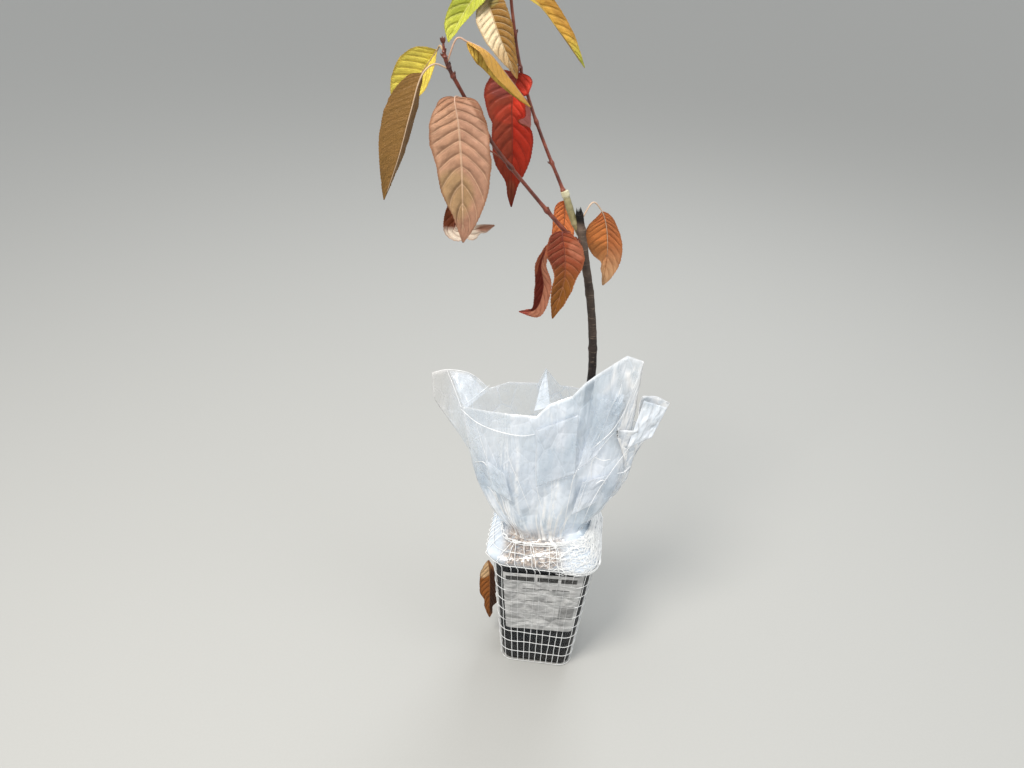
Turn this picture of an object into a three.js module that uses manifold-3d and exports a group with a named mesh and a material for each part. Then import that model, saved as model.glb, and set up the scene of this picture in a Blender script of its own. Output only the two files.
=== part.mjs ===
import * as THREE from 'three';
import Module from 'manifold-3d';

const wasm = await Module();
wasm.setup();

// millimetres, +Z up, origin at the middle of the pot's flat underside, -Y is the labelled front
const columns = 44;
const cornerFrom = 4 / 11;
const cornerTo = 7 / 11;
const clearance = 0.3;

const pot = {
  height: 275, baseHalf: 65.5, rimHalf: 88.5, baseCorner: 22, rimCorner: 30,
  wall: 1.6, floor: 3, footRound: 5, rimBand: 13, rimStep: 1.2,
  drainRadius: 6, drainReach: 36, drainSides: 16,
};
const soil = {
  top: 260, gap: 0.4, shoulder: 12, unevenness: 2, calmRadius: 60,
  mound: [{ inset: 1.5, drop: 3 }, { inset: 14, drop: 0.6 }, { inset: 45, drop: 0.4 }],
};
const film = {
  gap: 0.4, thickness: 0.9, hem: 10, shoulder: 0.45, pleats: 9, pleatDepth: 4,
  flareRows: [0, 0.17, 0.34, 0.5, 0.66, 0.84, 1],
  neck: { centre: [-1, 0], half: [73, 51], height: 303, tilt: 16 },
  waist: { centre: [-3, 2], half: [108, 63], height: 342, tilt: 8 },
  body: { centre: [-5, 5], half: [138, 72], height: 424, tilt: 4 },
};
const drape = { left: 14, right: 7, height: 274, rise: 2.5, sharpness: 4 };
const label = {
  bottom: 103, top: 257, bottomSlope: 0.055, topSlope: 0.075, halfWidth: 4.75,
  gap: 1.6, thickness: 0.4, crinkle: 0.1, rows: 8,
};
const net = {
  gap: 2.3, strandHalf: 0.8, strandRise: 1.2, lowestHoop: 2.3, pitch: 29, hoops: 9,
  shoulder: { share: 0.45, lift: 5 }, collar: { share: 0.8, lift: 3.5 },
};
const blade = {
  thickness: 2, stalkRadius: 1.3, ringPoints: 10, bendAt: 0.55, stalkRings: [0, 0.4, 0.8],
  baseHalf: 2.2, tipHalf: 1,
};

// mouth of the bag, counter-clockwise from the middle of the front
const bagMouth = [
  [-20, -55, 604], [51, -60, 627], [82, -68, 556], [132, -45, 534], [163, -20, 542], [178, -5, 587],
  [146, 10, 590], [118, 30, 560], [131, 45, 629], [118, 52, 634], [64, 70, 587], [-2, 75, 553],
  [-37, 66, 590], [-80, 62, 560], [-156, 50, 548], [-197, 45, 579], [-219, 28, 570], [-200, 8, 500],
  [-180, -12, 556], [-141, -40, 560], [-77, -60, 573],
];

const stems = {
  trunk: {
    line: [
      [22, 0, 260.3], [27, 0, 290], [38, 0, 431], [49, 0, 615],
      [45, 0, 680], [33, 0, 760], [16, 0, 836], [6, 0, 886],
    ],
    radii: [11, 7.4, 6.9, 6.6, 6.3, 6.1, 6.4, 5.4], sides: 12, rings: 18, footFlat: true, on: [],
  },
  graft_stick: {
    line: [[9, 1, 856], [-3, 2, 879], [-18, 5, 916]], radii: [4.6, 5.2, 5], sides: 12, rings: 5, on: ['trunk'],
  },
  leader: {
    line: [
      [-11, 4, 898], [-28, 8, 932], [-47, 14, 968], [-75, 25, 1027], [-92, 31, 1073], [-104, 36, 1125],
      [-113, 38, 1189], [-112, 32, 1240], [-108, 27, 1268],
    ],
    radii: [3, 2.5, 2.4, 2.3, 2.2, 2.2, 2.1, 2.2, 1.2], sides: 8, rings: 20, on: ['graft_stick', 'trunk'],
  },
  left_shoot: {
    line: [
      [14, 0, 840], [5, -5, 846], [-15, -18, 869], [-64, -38, 928], [-116, -58, 995], [-153, -78, 1060],
      [-171, -90, 1099], [-174, -91, 1119],
    ],
    radii: [4.2, 4, 3.2, 2.6, 2.5, 2.4, 2.5, 1.3], sides: 8, rings: 20, on: ['trunk', 'graft_stick'],
  },
};
const stubTeeth = [7, 1, 10, 3, 6, 0, 12, 4, 8, 1, 9, 2];
const wax = { from: 0.84, thickness: 1, reach: 12 };

// each leaf: the stem and where on it the stalk starts, its arch, then the midrib from stalk end to tip
const leaves = {
  salmon_leaf: {
    stem: 'left_shoot', at: 0.68, arch: 2, faces: [262, 262], fold: 10, cup: 0.1, colour: 0xb98a72,
    left: [27, 32, 33, 31, 25, 17, 5.5], right: [29, 36.5, 42.5, 43, 37.5, 27, 15],
    midrib: [[-158, -97, 1057], [-153, -110, 1027], [-148, -118, 973], [-143, -118, 876]],
  },
  bronze_leaf: {
    stem: 'left_shoot', at: 0.82, arch: 8, width: 66, faces: [140, 140], fold: 42, cup: -0.1, colour: 0x8a6236,
    midrib: [[-197, -104, 1083], [-210, -116, 1040], [-224, -126, 987], [-244, -130, 930]],
  },
  lime_leaf: {
    stem: 'left_shoot', at: 0.92, arch: 6, width: 56, faces: [240, 240], fold: 30, cup: 0.1, colour: 0xb3b443,
    midrib: [[-185, -74, 1106], [-204, -60, 1081], [-229, -47, 1048], [-249, -38, 1018]],
  },
  gold_leaf: {
    stem: 'left_shoot', at: 0.85, arch: 14, width: 36, faces: [215, 215], fold: 54, cup: 0.1, colour: 0xd39b3a,
    midrib: [[-146, -84, 1120], [-122, -78, 1109], [-96, -64, 1078], [-68, -48, 1041]],
  },
  brown_curl_leaf: {
    stem: 'left_shoot', at: 0.5, arch: 4, faces: [250, 290], fold: 14, cup: 0.2, colour: 0x6b3020,
    left: [11, 20, 24, 24, 26, 24, 12], right: [11, 20, 25, 26, 22, 16, 8],
    midrib: [[-129, -34, 977], [-148, -28, 930], [-160, -30, 884], [-148, -46, 856], [-110, -56, 876]],
  },
  red_leaf: {
    stem: 'leader', at: 0.5, arch: 4, faces: [268, 262], fold: 12, cup: 0.1, colour: 0xa82c20,
    left: [26, 34, 40, 33, 28, 25, 11], right: [20, 24, 20, 22, 32, 27, 10],
    midrib: [[-93, 14, 1070], [-98, 4, 1037], [-95, 0, 982], [-93, 4, 887]],
  },
  beige_leaf: {
    stem: 'leader', at: 0.86, arch: -4, faces: [262, 262], fold: 16, cup: 0.1, colour: 0xbb9052,
    left: [12, 18.5, 21.5, 20, 17, 11.5, 5], right: [16, 24, 26.5, 26, 21.5, 15, 9],
    midrib: [[-135, 10, 1158], [-125, -6, 1135], [-111, -14, 1107], [-91, -12, 1067]],
  },
  green_leaf: {
    stem: 'leader', at: 0.9, arch: 4, faces: [240, 250], fold: 20, cup: 0.1, colour: 0xa9bb3c,
    left: [9, 14, 18, 19.5, 19.5, 19.5, 15], right: [8, 13, 17, 17.5, 16.5, 11, 4.5],
    midrib: [[-123, 20, 1204], [-137, 10, 1179], [-160, 2, 1148], [-185, 0, 1104]],
  },
  yellow_leaf: {
    stem: 'leader', at: 0.82, arch: 6, width: 32, faces: [330, 330], fold: 46, cup: 0.1, colour: 0xb9a63c,
    midrib: [[-101, 46, 1172], [-75, 56, 1151], [-40, 64, 1111], [-7, 66, 1072]],
  },
  rust_front_leaf: {
    stem: 'left_shoot', at: 0.17, arch: 2, faces: [268, 268], fold: 14, cup: 0.1, colour: 0x9c4a24,
    left: [15, 21, 27, 21, 15.5, 15, 9], right: [13, 21, 30, 28, 18.5, 13.5, 8],
    midrib: [[-15, -30, 868], [-9, -40, 842], [-6, -44, 802], [-19, -42, 737]],
  },
  rust_fold_leaf: {
    stem: 'left_shoot', at: 0.11, arch: 4, faces: [262, 262], fold: 20, cup: 0.1, colour: 0x8c3524,
    left: [4, 6, 9, 13, 11, 6, 4], right: [4, 7, 11, 14, 14, 13, 6],
    midrib: [[-30, -6, 841], [-43, -14, 812], [-37, -20, 776], [-47, -24, 740], [-71, -26, 735]],
  },
  orange_back_leaf: {
    stem: 'graft_stick', at: 0.72, arch: 5, faces: [262, 262], fold: 12, cup: 0.1, colour: 0xc8642a,
    left: [9, 14, 16, 17, 16, 12, 6], right: [7, 11, 14, 17, 16, 12, 6],
    midrib: [[-17, 20, 897], [-16, 30, 871], [-16, 34, 830], [-15, 32, 787]],
  },
  orange_right_leaf: {
    stem: 'trunk', at: 0.985, arch: 18, faces: [262, 262], fold: 14, cup: 0.1, colour: 0xb06a34,
    left: [12, 21.5, 28, 32.5, 28, 19, 7], right: [9, 13.5, 17, 21.5, 24.5, 21.5, 14],
    midrib: [[38, 16, 887], [46, 22, 865], [52, 26, 825], [51, 24, 768]],
  },
  back_leaf: {
    stem: 'leader', at: 0.44, arch: 6, width: 44, faces: [100, 95], fold: 14, cup: 0.1, colour: 0xa5563a,
    midrib: [[-95, 60, 1031], [-98, 74, 993], [-99, 80, 945], [-101, 78, 893]],
  },
  top_back_leaf: {
    stem: 'leader', at: 0.92, arch: 8, width: 50, faces: [160, 160], fold: 18, cup: 0.1, colour: 0xa8ab42,
    midrib: [[-104, 49, 1252], [-95, 76, 1277], [-84, 105, 1279], [-77, 133, 1256]],
  },
  top_left_leaf: {
    stem: 'leader', at: 0.97, arch: 3, width: 34, faces: [290, 290], fold: 26, cup: 0.1, colour: 0xa3b445,
    midrib: [[-120, 22, 1272], [-140, 16, 1296], [-162, 10, 1306], [-184, 6, 1298]],
  },
  top_right_leaf: {
    stem: 'leader', at: 0.985, arch: 3, width: 30, faces: [280, 280], fold: 26, cup: 0.1, colour: 0xb4b04a,
    midrib: [[-98, 26, 1276], [-82, 26, 1300], [-62, 24, 1312], [-42, 20, 1308]],
  },
};
// where along a blade its half widths are given, and the even shape of a leaf that has only a width
const bladeStations = [0.06, 0.16, 0.3, 0.46, 0.62, 0.76, 0.89];
const evenShape = [0.42, 0.74, 0.96, 1, 0.89, 0.66, 0.35];
const caughtLeaf = {
  width: 38, faces: [262, 262], fold: 10, cup: 0.2,
  midrib: [[-103.5, -16, 204], [-99.9, -18, 160], [-98.2, -20, 110], [-97, -20, 57]],
};

const colours = {
  pot: 0x1b1c1e, soil: 0x3a2a20, bag: 0xdfe6ea, label: 0xb9b9b4, net: 0xf1f2f2, trunk: 0x4a3f38,
  graft_stick: 0xa6ae86, graft_wax: 0xd9d8c8, leader: 0x5b2a22, left_shoot: 0x5b2a22, caught_leaf: 0x8a4f26,
};
const roughnesses = { bag: 0.2, trunk: 0.85, soil: 0.95, leaf: 0.6 };

const point = (values) => new THREE.Vector3(...values);
const mix = (a, b, share) => a + (b - a) * share;
const range = (count) => Array.from({ length: count }, (_, index) => index);

function heading(degrees) {
  const angle = THREE.MathUtils.degToRad(degrees);
  return new THREE.Vector3(Math.cos(angle), Math.sin(angle), 0);
}

const middle = (ring) => ring.reduce((sum, p) => sum.add(p), new THREE.Vector3()).divideScalar(ring.length);

function signedVolume(points, triangles) {
  return triangles.reduce((sum, [a, b, c]) => {
    const cross = new THREE.Vector3().crossVectors(points[b], points[c]);
    return sum + points[a].dot(cross) / 6;
  }, 0);
}

function solidFrom(points, triangles) {
  const insideOut = signedVolume(points, triangles) < 0;
  const outward = insideOut ? triangles.map(([a, b, c]) => [a, c, b]) : triangles;
  const vertProperties = new Float32Array(points.flatMap((p) => [p.x, p.y, p.z]));
  const mesh = new wasm.Mesh({ numProp: 3, vertProperties, triVerts: new Uint32Array(outward.flat()) });
  mesh.merge();
  return new wasm.Manifold(mesh);
}

function quad(a, b, c, d) {
  return [[a, b, c], [a, c, d]];
}

// closed body through rings of equal size, with a fan of triangles over each end
function loft(rings) {
  const size = rings[0].length;
  const points = rings.flat();
  const triangles = [];
  for (let ring = 0; ring < rings.length - 1; ring += 1) {
    for (let side = 0; side < size; side += 1) {
      const next = (side + 1) % size;
      const low = ring * size;
      const high = low + size;
      triangles.push(...quad(low + side, low + next, high + next, high + side));
    }
  }
  const last = (rings.length - 1) * size;
  points.push(middle(rings[0]), middle(rings[rings.length - 1]));
  for (let side = 0; side < size; side += 1) {
    const next = (side + 1) % size;
    triangles.push([next, side, points.length - 2]);
    triangles.push([last + side, last + next, points.length - 1]);
  }
  return solidFrom(points, triangles);
}

// closed tube wall: an outer and an inner grid of the same rows and columns, joined at both rims
function wallSolid(outer, inner, closedAround = true) {
  const loops = outer[0].map((_, column) => [
    ...outer.map((row) => row[column]),
    ...inner.map((row) => row[column]).reverse(),
  ]);
  if (!closedAround) return loft(loops);
  const size = loops[0].length;
  const triangles = [];
  for (let loop = 0; loop < loops.length; loop += 1) {
    const here = loop * size;
    const there = ((loop + 1) % loops.length) * size;
    for (let step = 0; step < size; step += 1) {
      const next = (step + 1) % size;
      triangles.push(...quad(here + step, here + next, there + next, there + step));
    }
  }
  return solidFrom(loops.flat(), triangles);
}

// rounded square, counter-clockwise from the middle of the front side
function outlineNode(index, half, corner) {
  const turns = ((index / columns) * 4 + 4) % 4;
  const quarter = Math.floor(turns);
  const along = turns - quarter;
  const straight = half - corner;
  let x = half;
  let y = -half;
  if (along <= cornerFrom) {
    x = (along / cornerFrom) * straight;
  } else if (along >= cornerTo) {
    y = -((1 - along) / (1 - cornerTo)) * straight;
  } else {
    const angle = ((along - cornerFrom) / (cornerTo - cornerFrom)) * (Math.PI / 2);
    x = straight + corner * Math.sin(angle);
    y = -straight - corner * Math.cos(angle);
  }
  const spin = quarter * (Math.PI / 2);
  return [x * Math.cos(spin) - y * Math.sin(spin), x * Math.sin(spin) + y * Math.cos(spin)];
}

// point on the pot's tapering outline, moved outward by an offset
function wallPoint(column, z, offset) {
  const share = z / pot.height;
  const half = mix(pot.baseHalf, pot.rimHalf, share) + offset;
  const corner = Math.max(1, mix(pot.baseCorner, pot.rimCorner, share) + offset);
  const before = Math.floor(column);
  const a = outlineNode(before, half, corner);
  const b = outlineNode(before + 1, half, corner);
  return new THREE.Vector3(mix(a[0], b[0], column - before), mix(a[1], b[1], column - before), z);
}

const wallRing = (z, offset) => range(columns).map((column) => wallPoint(column, z, offset));

function drainHole(x, y) {
  const ring = (z) => range(pot.drainSides).map((side) => {
    const out = heading((360 * side) / pot.drainSides).multiplyScalar(pot.drainRadius);
    return out.add(new THREE.Vector3(x, y, z));
  });
  return loft([ring(-1), ring(pot.floor + 1)]);
}

function potSolid() {
  const { height, floor, footRound, rimBand, rimStep, wall, drainReach } = pot;
  const bandFrom = height - rimBand;
  const body = -rimStep;
  const inside = body - wall;
  const cup = loft([
    wallRing(0, body - footRound), wallRing(footRound * 0.3, body - footRound * 0.3), wallRing(footRound, body),
    wallRing(bandFrom, body), wallRing(bandFrom, 0), wallRing(height, 0),
    wallRing(height, inside), wallRing(footRound + floor, inside), wallRing(floor, inside - footRound),
  ]);
  const holes = [[1, 1], [-1, 1], [-1, -1], [1, -1]].map(([x, y]) => drainHole(x * drainReach, y * drainReach));
  return wasm.Manifold.difference([cup, ...holes]);
}

// filling of the pot, lumpy on top and flat where the trunk stands
function soilSolid() {
  const side = -pot.rimStep - pot.wall - soil.gap;
  const { floor, footRound } = pot;
  const [stemX] = stems.trunk.line[0];
  const lumpyRing = ({ inset, drop }) => wallRing(soil.top - drop, side - inset).map((p, column) => {
    const calm = Math.min(1, Math.hypot(p.x - stemX, p.y) / soil.calmRadius);
    p.z += soil.unevenness * calm * Math.sin(column * 1.7 + inset);
    return p;
  });
  return loft([
    wallRing(floor + soil.gap, side - footRound), wallRing(floor + footRound + 1, side),
    wallRing(soil.top - soil.shoulder, side), ...soil.mound.map(lumpyRing),
  ]);
}

// the bag's cross-sections above the pot are ovals that sit higher on their right side
function oval(column, shape) {
  const angle = (column / columns) * Math.PI * 2 - Math.PI / 2;
  return new THREE.Vector3(
    shape.centre[0] + shape.half[0] * Math.cos(angle),
    shape.centre[1] + shape.half[1] * Math.sin(angle),
    shape.height + shape.tilt * Math.cos(angle),
  );
}

const mouthCurve = new THREE.CatmullRomCurve3(bagMouth.map(point), true, 'centripetal');

function pleated(p, column, strength) {
  const wave = Math.sin((column / columns) * Math.PI * 2 * film.pleats);
  const out = new THREE.Vector3(p.x, p.y, 0).normalize();
  return p.clone().addScaledVector(out, wave * film.pleatDepth * strength);
}

// loose film and net stand out past the pot's rim on its left and right
function drapePoint(column, offset) {
  const p = wallPoint(column, drape.height, offset);
  const side = Math.min(1, Math.abs(p.x) / pot.rimHalf);
  p.x += Math.sign(p.x) * (p.x < 0 ? drape.left : drape.right) * side ** drape.sharpness;
  p.z += drape.rise;
  return p;
}

// point between the rim and the bag's neck, on a rounded shoulder
function shoulderPoint(column, { share, lift }) {
  const rim = drapePoint(column, film.gap);
  const neck = oval(column, film.neck);
  const p = rim.clone().lerp(neck, share);
  p.z = mix(rim.z, neck.z, Math.sqrt(share)) + lift;
  return p;
}

function filmColumn(column) {
  const neck = pleated(oval(column, film.neck), column, 0.35);
  const waist = pleated(oval(column, film.waist), column, 1);
  const body = pleated(oval(column, film.body), column, 0.8);
  const mouth = mouthCurve.getPoint(column / columns);
  const flare = new THREE.CatmullRomCurve3([neck, waist, body, mouth], false, 'centripetal');
  return [
    wallPoint(column, film.hem, film.gap), wallPoint(column, pot.height - pot.rimBand, film.gap),
    drapePoint(column, film.gap), shoulderPoint(column, { share: film.shoulder, lift: 0 }),
    ...film.flareRows.map((share) => flare.getPoint(share)),
  ];
}

function gridNormals(grid) {
  const last = grid.length - 1;
  return grid.map((row, level) => row.map((_, column) => {
    const across = row[(column + 1) % columns].clone().sub(row[(column + columns - 1) % columns]);
    const along = grid[Math.min(level + 1, last)][column].clone().sub(grid[Math.max(level - 1, 0)][column]);
    return across.cross(along).normalize();
  }));
}

const turned = (lists) => lists[0].map((_, index) => lists.map((list) => list[index]));

function filmSolid() {
  const inner = turned(range(columns).map(filmColumn));
  const normals = gridNormals(inner);
  const outer = inner.map((row, level) => row.map((p, column) => (
    p.clone().addScaledVector(normals[level][column], film.thickness)
  )));
  return wallSolid(outer, inner);
}

function labelSolid() {
  const half = label.halfWidth;
  const stops = [-half, ...range(9).map((step) => step - 4), half];
  const grid = (offset) => range(label.rows + 1).map((row) => stops.map((stop, index) => {
    const ripple = label.crinkle * Math.sin(row * 2.3 + index * 1.9);
    const { x } = wallPoint(stop, label.top, 0);
    const bottom = label.bottom + label.bottomSlope * x;
    return wallPoint(stop, mix(bottom, label.top + label.topSlope * x, row / label.rows), offset + ripple);
  }));
  return wallSolid(grid(label.gap + label.thickness), grid(label.gap), false);
}

function netColumn(column) {
  const hoops = range(net.hoops).map((hoop) => net.lowestHoop + hoop * net.pitch);
  return [
    ...[...hoops, pot.height - pot.rimBand].map((z) => wallPoint(column, z, net.gap)),
    drapePoint(column, net.gap), shoulderPoint(column, net.shoulder), shoulderPoint(column, net.collar),
  ];
}

// five points at each crossing of the net: four corners on its flat back, then its ridge
function netPoints(grid) {
  const normals = gridNormals(grid);
  const corners = [[-1, -1], [1, -1], [-1, 1], [1, 1]];
  return grid.flatMap((row, level) => row.flatMap((p, column) => {
    const normal = normals[level][column];
    const across = row[(column + 1) % columns].clone().sub(row[(column + columns - 1) % columns]).normalize();
    const along = normal.clone().cross(across).normalize();
    const back = corners.map(([right, up]) => {
      const shift = across.clone().multiplyScalar(right).addScaledVector(along, up);
      return p.clone().addScaledVector(shift, net.strandHalf);
    });
    return [...back, p.clone().addScaledVector(normal, net.strandRise)];
  }));
}

// strand between two crossings: its back, then its two sloping faces
function strand(backA, backB, ridgeA, ridgeB) {
  return [
    ...quad(backA[0], backA[1], backB[1], backB[0]),
    ...quad(ridgeA, ridgeB, backB[1], backA[1]), ...quad(backA[0], backB[0], ridgeB, ridgeA),
  ];
}

function netSolid() {
  const grid = turned(range(columns).map(netColumn));
  const top = grid.length - 1;
  const crossing = (row, column) => {
    const first = (row * columns + (column % columns)) * 5;
    return { lowLeft: first, lowRight: first + 1, topLeft: first + 2, topRight: first + 3, ridge: first + 4 };
  };
  const triangles = range(grid.length).flatMap((row) => range(columns).flatMap((column) => {
    const here = crossing(row, column);
    const beside = crossing(row, column + 1);
    const above = crossing(Math.min(row + 1, top), column);
    return [
      ...quad(here.lowLeft, here.topLeft, here.topRight, here.lowRight),
      ...strand([here.lowRight, here.topRight], [beside.lowLeft, beside.topLeft], here.ridge, beside.ridge),
      ...(row === 0 ? [[here.lowLeft, here.lowRight, here.ridge]] : []),
      ...(row === top
        ? [[here.topRight, here.topLeft, here.ridge]]
        : strand([here.topRight, here.topLeft], [above.lowRight, above.lowLeft], here.ridge, above.ridge)),
    ];
  }));
  return solidFrom(netPoints(grid), triangles);
}

function stemCurve(name) {
  return new THREE.CatmullRomCurve3(stems[name].line.map(point), false, 'centripetal');
}

function stemRadius(name, share) {
  const { radii } = stems[name];
  const spot = share * (radii.length - 1);
  const before = Math.min(Math.floor(spot), radii.length - 2);
  return mix(radii[before], radii[before + 1], spot - before);
}

function ringAround(centre, direction, radius, sides) {
  const side = new THREE.Vector3(0, 1, 0).cross(direction).normalize();
  const front = direction.clone().cross(side).normalize();
  return range(sides).map((index) => {
    const angle = (index / sides) * Math.PI * 2;
    return centre.clone()
      .addScaledVector(side, radius * Math.cos(angle))
      .addScaledVector(front, radius * Math.sin(angle));
  });
}

function stemRings(name, extra) {
  const stem = stems[name];
  const curve = stemCurve(name);
  return range(stem.rings + 1).map((index) => {
    const share = index / stem.rings;
    const direction = curve.getTangent(share);
    if (index === 0 && stem.footFlat) direction.set(0, 0, 1);
    const overhang = extra * ((index === stem.rings) - (index === 0));
    const centre = curve.getPoint(share).addScaledVector(direction, overhang);
    return ringAround(centre, direction, stemRadius(name, share) + extra, stem.sides);
  });
}

// the trunk ends in a dead, splintered stub
function trunkSolid() {
  const rings = stemRings('trunk', 0);
  const direction = stemCurve('trunk').getTangent(1);
  const top = rings[rings.length - 1];
  const centre = middle(top);
  const splinters = top.map((p, index) => p.clone().lerp(centre, 0.3).addScaledVector(direction, stubTeeth[index]));
  return loft([...rings, splinters]);
}

// cuts the named stems out of a solid, with a hair of room round them
function without(solid, names) {
  const cutters = names.map((name) => loft(stemRings(name, clearance)));
  return cutters.length ? wasm.Manifold.difference([solid, ...cutters]) : solid;
}

const stemSolid = (name) => without(loft(stemRings(name, 0)), stems[name].on);

// waxed collar over the top end of the graft stick
function waxSolid() {
  const curve = stemCurve('graft_stick');
  const from = curve.getPoint(wax.from);
  const direction = curve.getTangent(1);
  const past = curve.getPoint(1).addScaledVector(direction, wax.thickness * 2);
  const around = loft([from, past].map((centre) => ringAround(centre, direction, wax.reach, 8)));
  const thick = loft(stemRings('graft_stick', clearance + wax.thickness));
  return without(wasm.Manifold.intersection(thick, around), ['graft_stick', 'leader']);
}

// ring of a leaf: round on the stalk, turning into a thin folded blade
function leafRing(centre, tangent, facing, data, halves, flatness) {
  const normal = facing.clone().addScaledVector(tangent, -facing.dot(tangent)).normalize();
  const side = tangent.clone().cross(normal);
  const fold = THREE.MathUtils.degToRad(data.fold);
  const halfThick = blade.thickness / Math.cos(fold) / 2;
  const upperPoints = blade.ringPoints / 2;
  return range(blade.ringPoints).map((index) => {
    const upper = index < upperPoints;
    const across = (upper ? index : blade.ringPoints - 1 - index) / ((upperPoints - 1) / 2) - 1;
    const angle = Math.PI * (0.5 + (upperPoints - 1 - 2 * index) / blade.ringPoints);
    const half = across > 0 ? halves.left : halves.right;
    const out = half * across * Math.cos(fold);
    const lift = half * (Math.abs(across) * Math.sin(fold) + data.cup * across * across);
    const flat = [out, lift + (upper ? halfThick : -halfThick)];
    const round = [blade.stalkRadius * Math.cos(angle), blade.stalkRadius * Math.sin(angle)];
    return centre.clone()
      .addScaledVector(side, mix(round[0], flat[0], flatness))
      .addScaledVector(normal, mix(round[1], flat[1], flatness));
  });
}

// half widths along the blade, left and right as seen from its upper side with the tip down
function bladeHalves(data) {
  const even = evenShape.map((share) => (share * data.width) / 2);
  const [left, right] = [data.left ?? even, data.right ?? even];
  const between = bladeStations.map((share, index) => ({ share, left: left[index], right: right[index] }));
  return [
    { share: 0, left: blade.baseHalf, right: blade.baseHalf }, ...between,
    { share: 1, left: blade.tipHalf, right: blade.tipHalf },
  ];
}

// rings from the stalk's foot to the leaf's tip, or of the blade alone where there is no stalk
function leafRings(data, stalk, footNormal) {
  const curve = new THREE.CatmullRomCurve3([...stalk, ...data.midrib.map(point)], false, 'centripetal');
  const bladeFrom = stalk.length / (stalk.length + data.midrib.length - 1);
  const ringAt = (at, share, halves, flatness) => leafRing(
    curve.getPoint(at), at === 0 && footNormal ? footNormal : curve.getTangent(at),
    heading(mix(data.faces[0], data.faces[1], share)), data, halves, flatness,
  );
  const noBlade = { left: 0, right: 0 };
  const stalkRings = stalk.length ? blade.stalkRings.map((share) => ringAt(share * bladeFrom, 0, noBlade, 0)) : [];
  const bladeRings = bladeHalves(data).map((halves) => (
    ringAt(mix(bladeFrom, 1, halves.share), halves.share, halves, halves.share ? 1 : 0.5)
  ));
  return [...stalkRings, ...bladeRings];
}

// the stalk stands square on its stem, a hair clear of it, and arches over to the blade
function leafSolid(data) {
  const stem = stemCurve(data.stem);
  const axisPoint = stem.getPoint(data.at);
  const along = stem.getTangent(data.at);
  const bend = axisPoint.clone().lerp(point(data.midrib[0]), blade.bendAt);
  bend.z += data.arch;
  const outward = bend.clone().sub(axisPoint);
  outward.addScaledVector(along, -outward.dot(along)).normalize();
  const foot = axisPoint.clone().addScaledVector(outward, stemRadius(data.stem, data.at) + clearance);
  return loft(leafRings(data, [foot, bend], outward));
}

function geometryOf(solid) {
  const { vertProperties, triVerts } = solid.getMesh();
  const geometry = new THREE.BufferGeometry();
  geometry.setAttribute('position', new THREE.BufferAttribute(vertProperties, 3));
  geometry.setIndex(new THREE.BufferAttribute(triVerts, 1));
  geometry.computeVertexNormals();
  return geometry;
}

function partMesh(name, solid, color, roughness) {
  const material = new THREE.MeshStandardMaterial({ color, roughness, metalness: 0, name });
  const mesh = new THREE.Mesh(geometryOf(solid), material);
  mesh.name = name;
  return mesh;
}

const solids = {
  pot: potSolid(),
  soil: soilSolid(),
  bag: filmSolid(),
  label: labelSolid(),
  net: netSolid(),
  trunk: trunkSolid(),
  graft_stick: stemSolid('graft_stick'),
  graft_wax: waxSolid(),
  leader: stemSolid('leader'),
  left_shoot: stemSolid('left_shoot'),
  caught_leaf: loft(leafRings(caughtLeaf, [])),
};

const sapling = new THREE.Group();
sapling.name = 'potted_sapling';
for (const [name, solid] of Object.entries(solids)) {
  sapling.add(partMesh(name, solid, colours[name], roughnesses[name] ?? 0.5));
}
for (const [name, data] of Object.entries(leaves)) {
  sapling.add(partMesh(name, leafSolid(data), data.colour, roughnesses.leaf));
}

export default sapling;
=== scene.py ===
import bpy
import numpy as np
from mathutils import Matrix, Vector


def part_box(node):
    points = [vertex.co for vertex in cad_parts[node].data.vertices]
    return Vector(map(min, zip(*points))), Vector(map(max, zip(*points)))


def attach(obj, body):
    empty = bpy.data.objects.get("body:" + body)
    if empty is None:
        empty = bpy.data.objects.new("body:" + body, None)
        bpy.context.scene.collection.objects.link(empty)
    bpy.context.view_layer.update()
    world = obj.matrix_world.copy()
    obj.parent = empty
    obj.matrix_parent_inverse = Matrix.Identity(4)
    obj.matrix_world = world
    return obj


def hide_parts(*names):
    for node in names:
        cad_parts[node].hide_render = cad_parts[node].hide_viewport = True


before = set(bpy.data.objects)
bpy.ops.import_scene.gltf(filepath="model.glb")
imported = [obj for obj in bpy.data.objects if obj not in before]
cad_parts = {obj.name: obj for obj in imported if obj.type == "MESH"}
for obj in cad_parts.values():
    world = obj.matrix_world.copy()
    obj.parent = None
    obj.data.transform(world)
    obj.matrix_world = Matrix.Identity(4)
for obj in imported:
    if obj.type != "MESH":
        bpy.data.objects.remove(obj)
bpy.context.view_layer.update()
mm = 0.001
turnOfColumn = 1 / 44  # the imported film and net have 44 columns round the pot


# small tools for arrays of points
def unit(vectors):
    return vectors / np.maximum(np.linalg.norm(vectors, axis=-1, keepdims=True), 1e-9)


def mix(a, b, share):
    return a + (b - a) * share


def smooth(x):  # 0 to 1 with soft ends
    x = np.clip(x, 0, 1)
    return x * x * (3 - 2 * x)


def stack(x, y, z):
    return np.stack(np.broadcast_arrays(x, y, z), -1).astype(float)


def hump(x, middle, width):  # bell of height 1
    return np.exp(-(((x - middle) / width) ** 2))


def hills(points, size, seed):  # soft random hills about size across, from -1 to 1
    table = np.random.default_rng(seed).uniform(-1, 1, (32, 32, 32))
    cell = points / size
    base = np.floor(cell).astype(int)
    part = smooth(cell - base)
    total = 0
    for corner in np.ndindex(2, 2, 2):
        weight = np.prod(np.where(corner, part, 1 - part), axis=-1)
        at = (base + corner) % 32
        total = total + weight * table[at[..., 0], at[..., 1], at[..., 2]]
    return total


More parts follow.
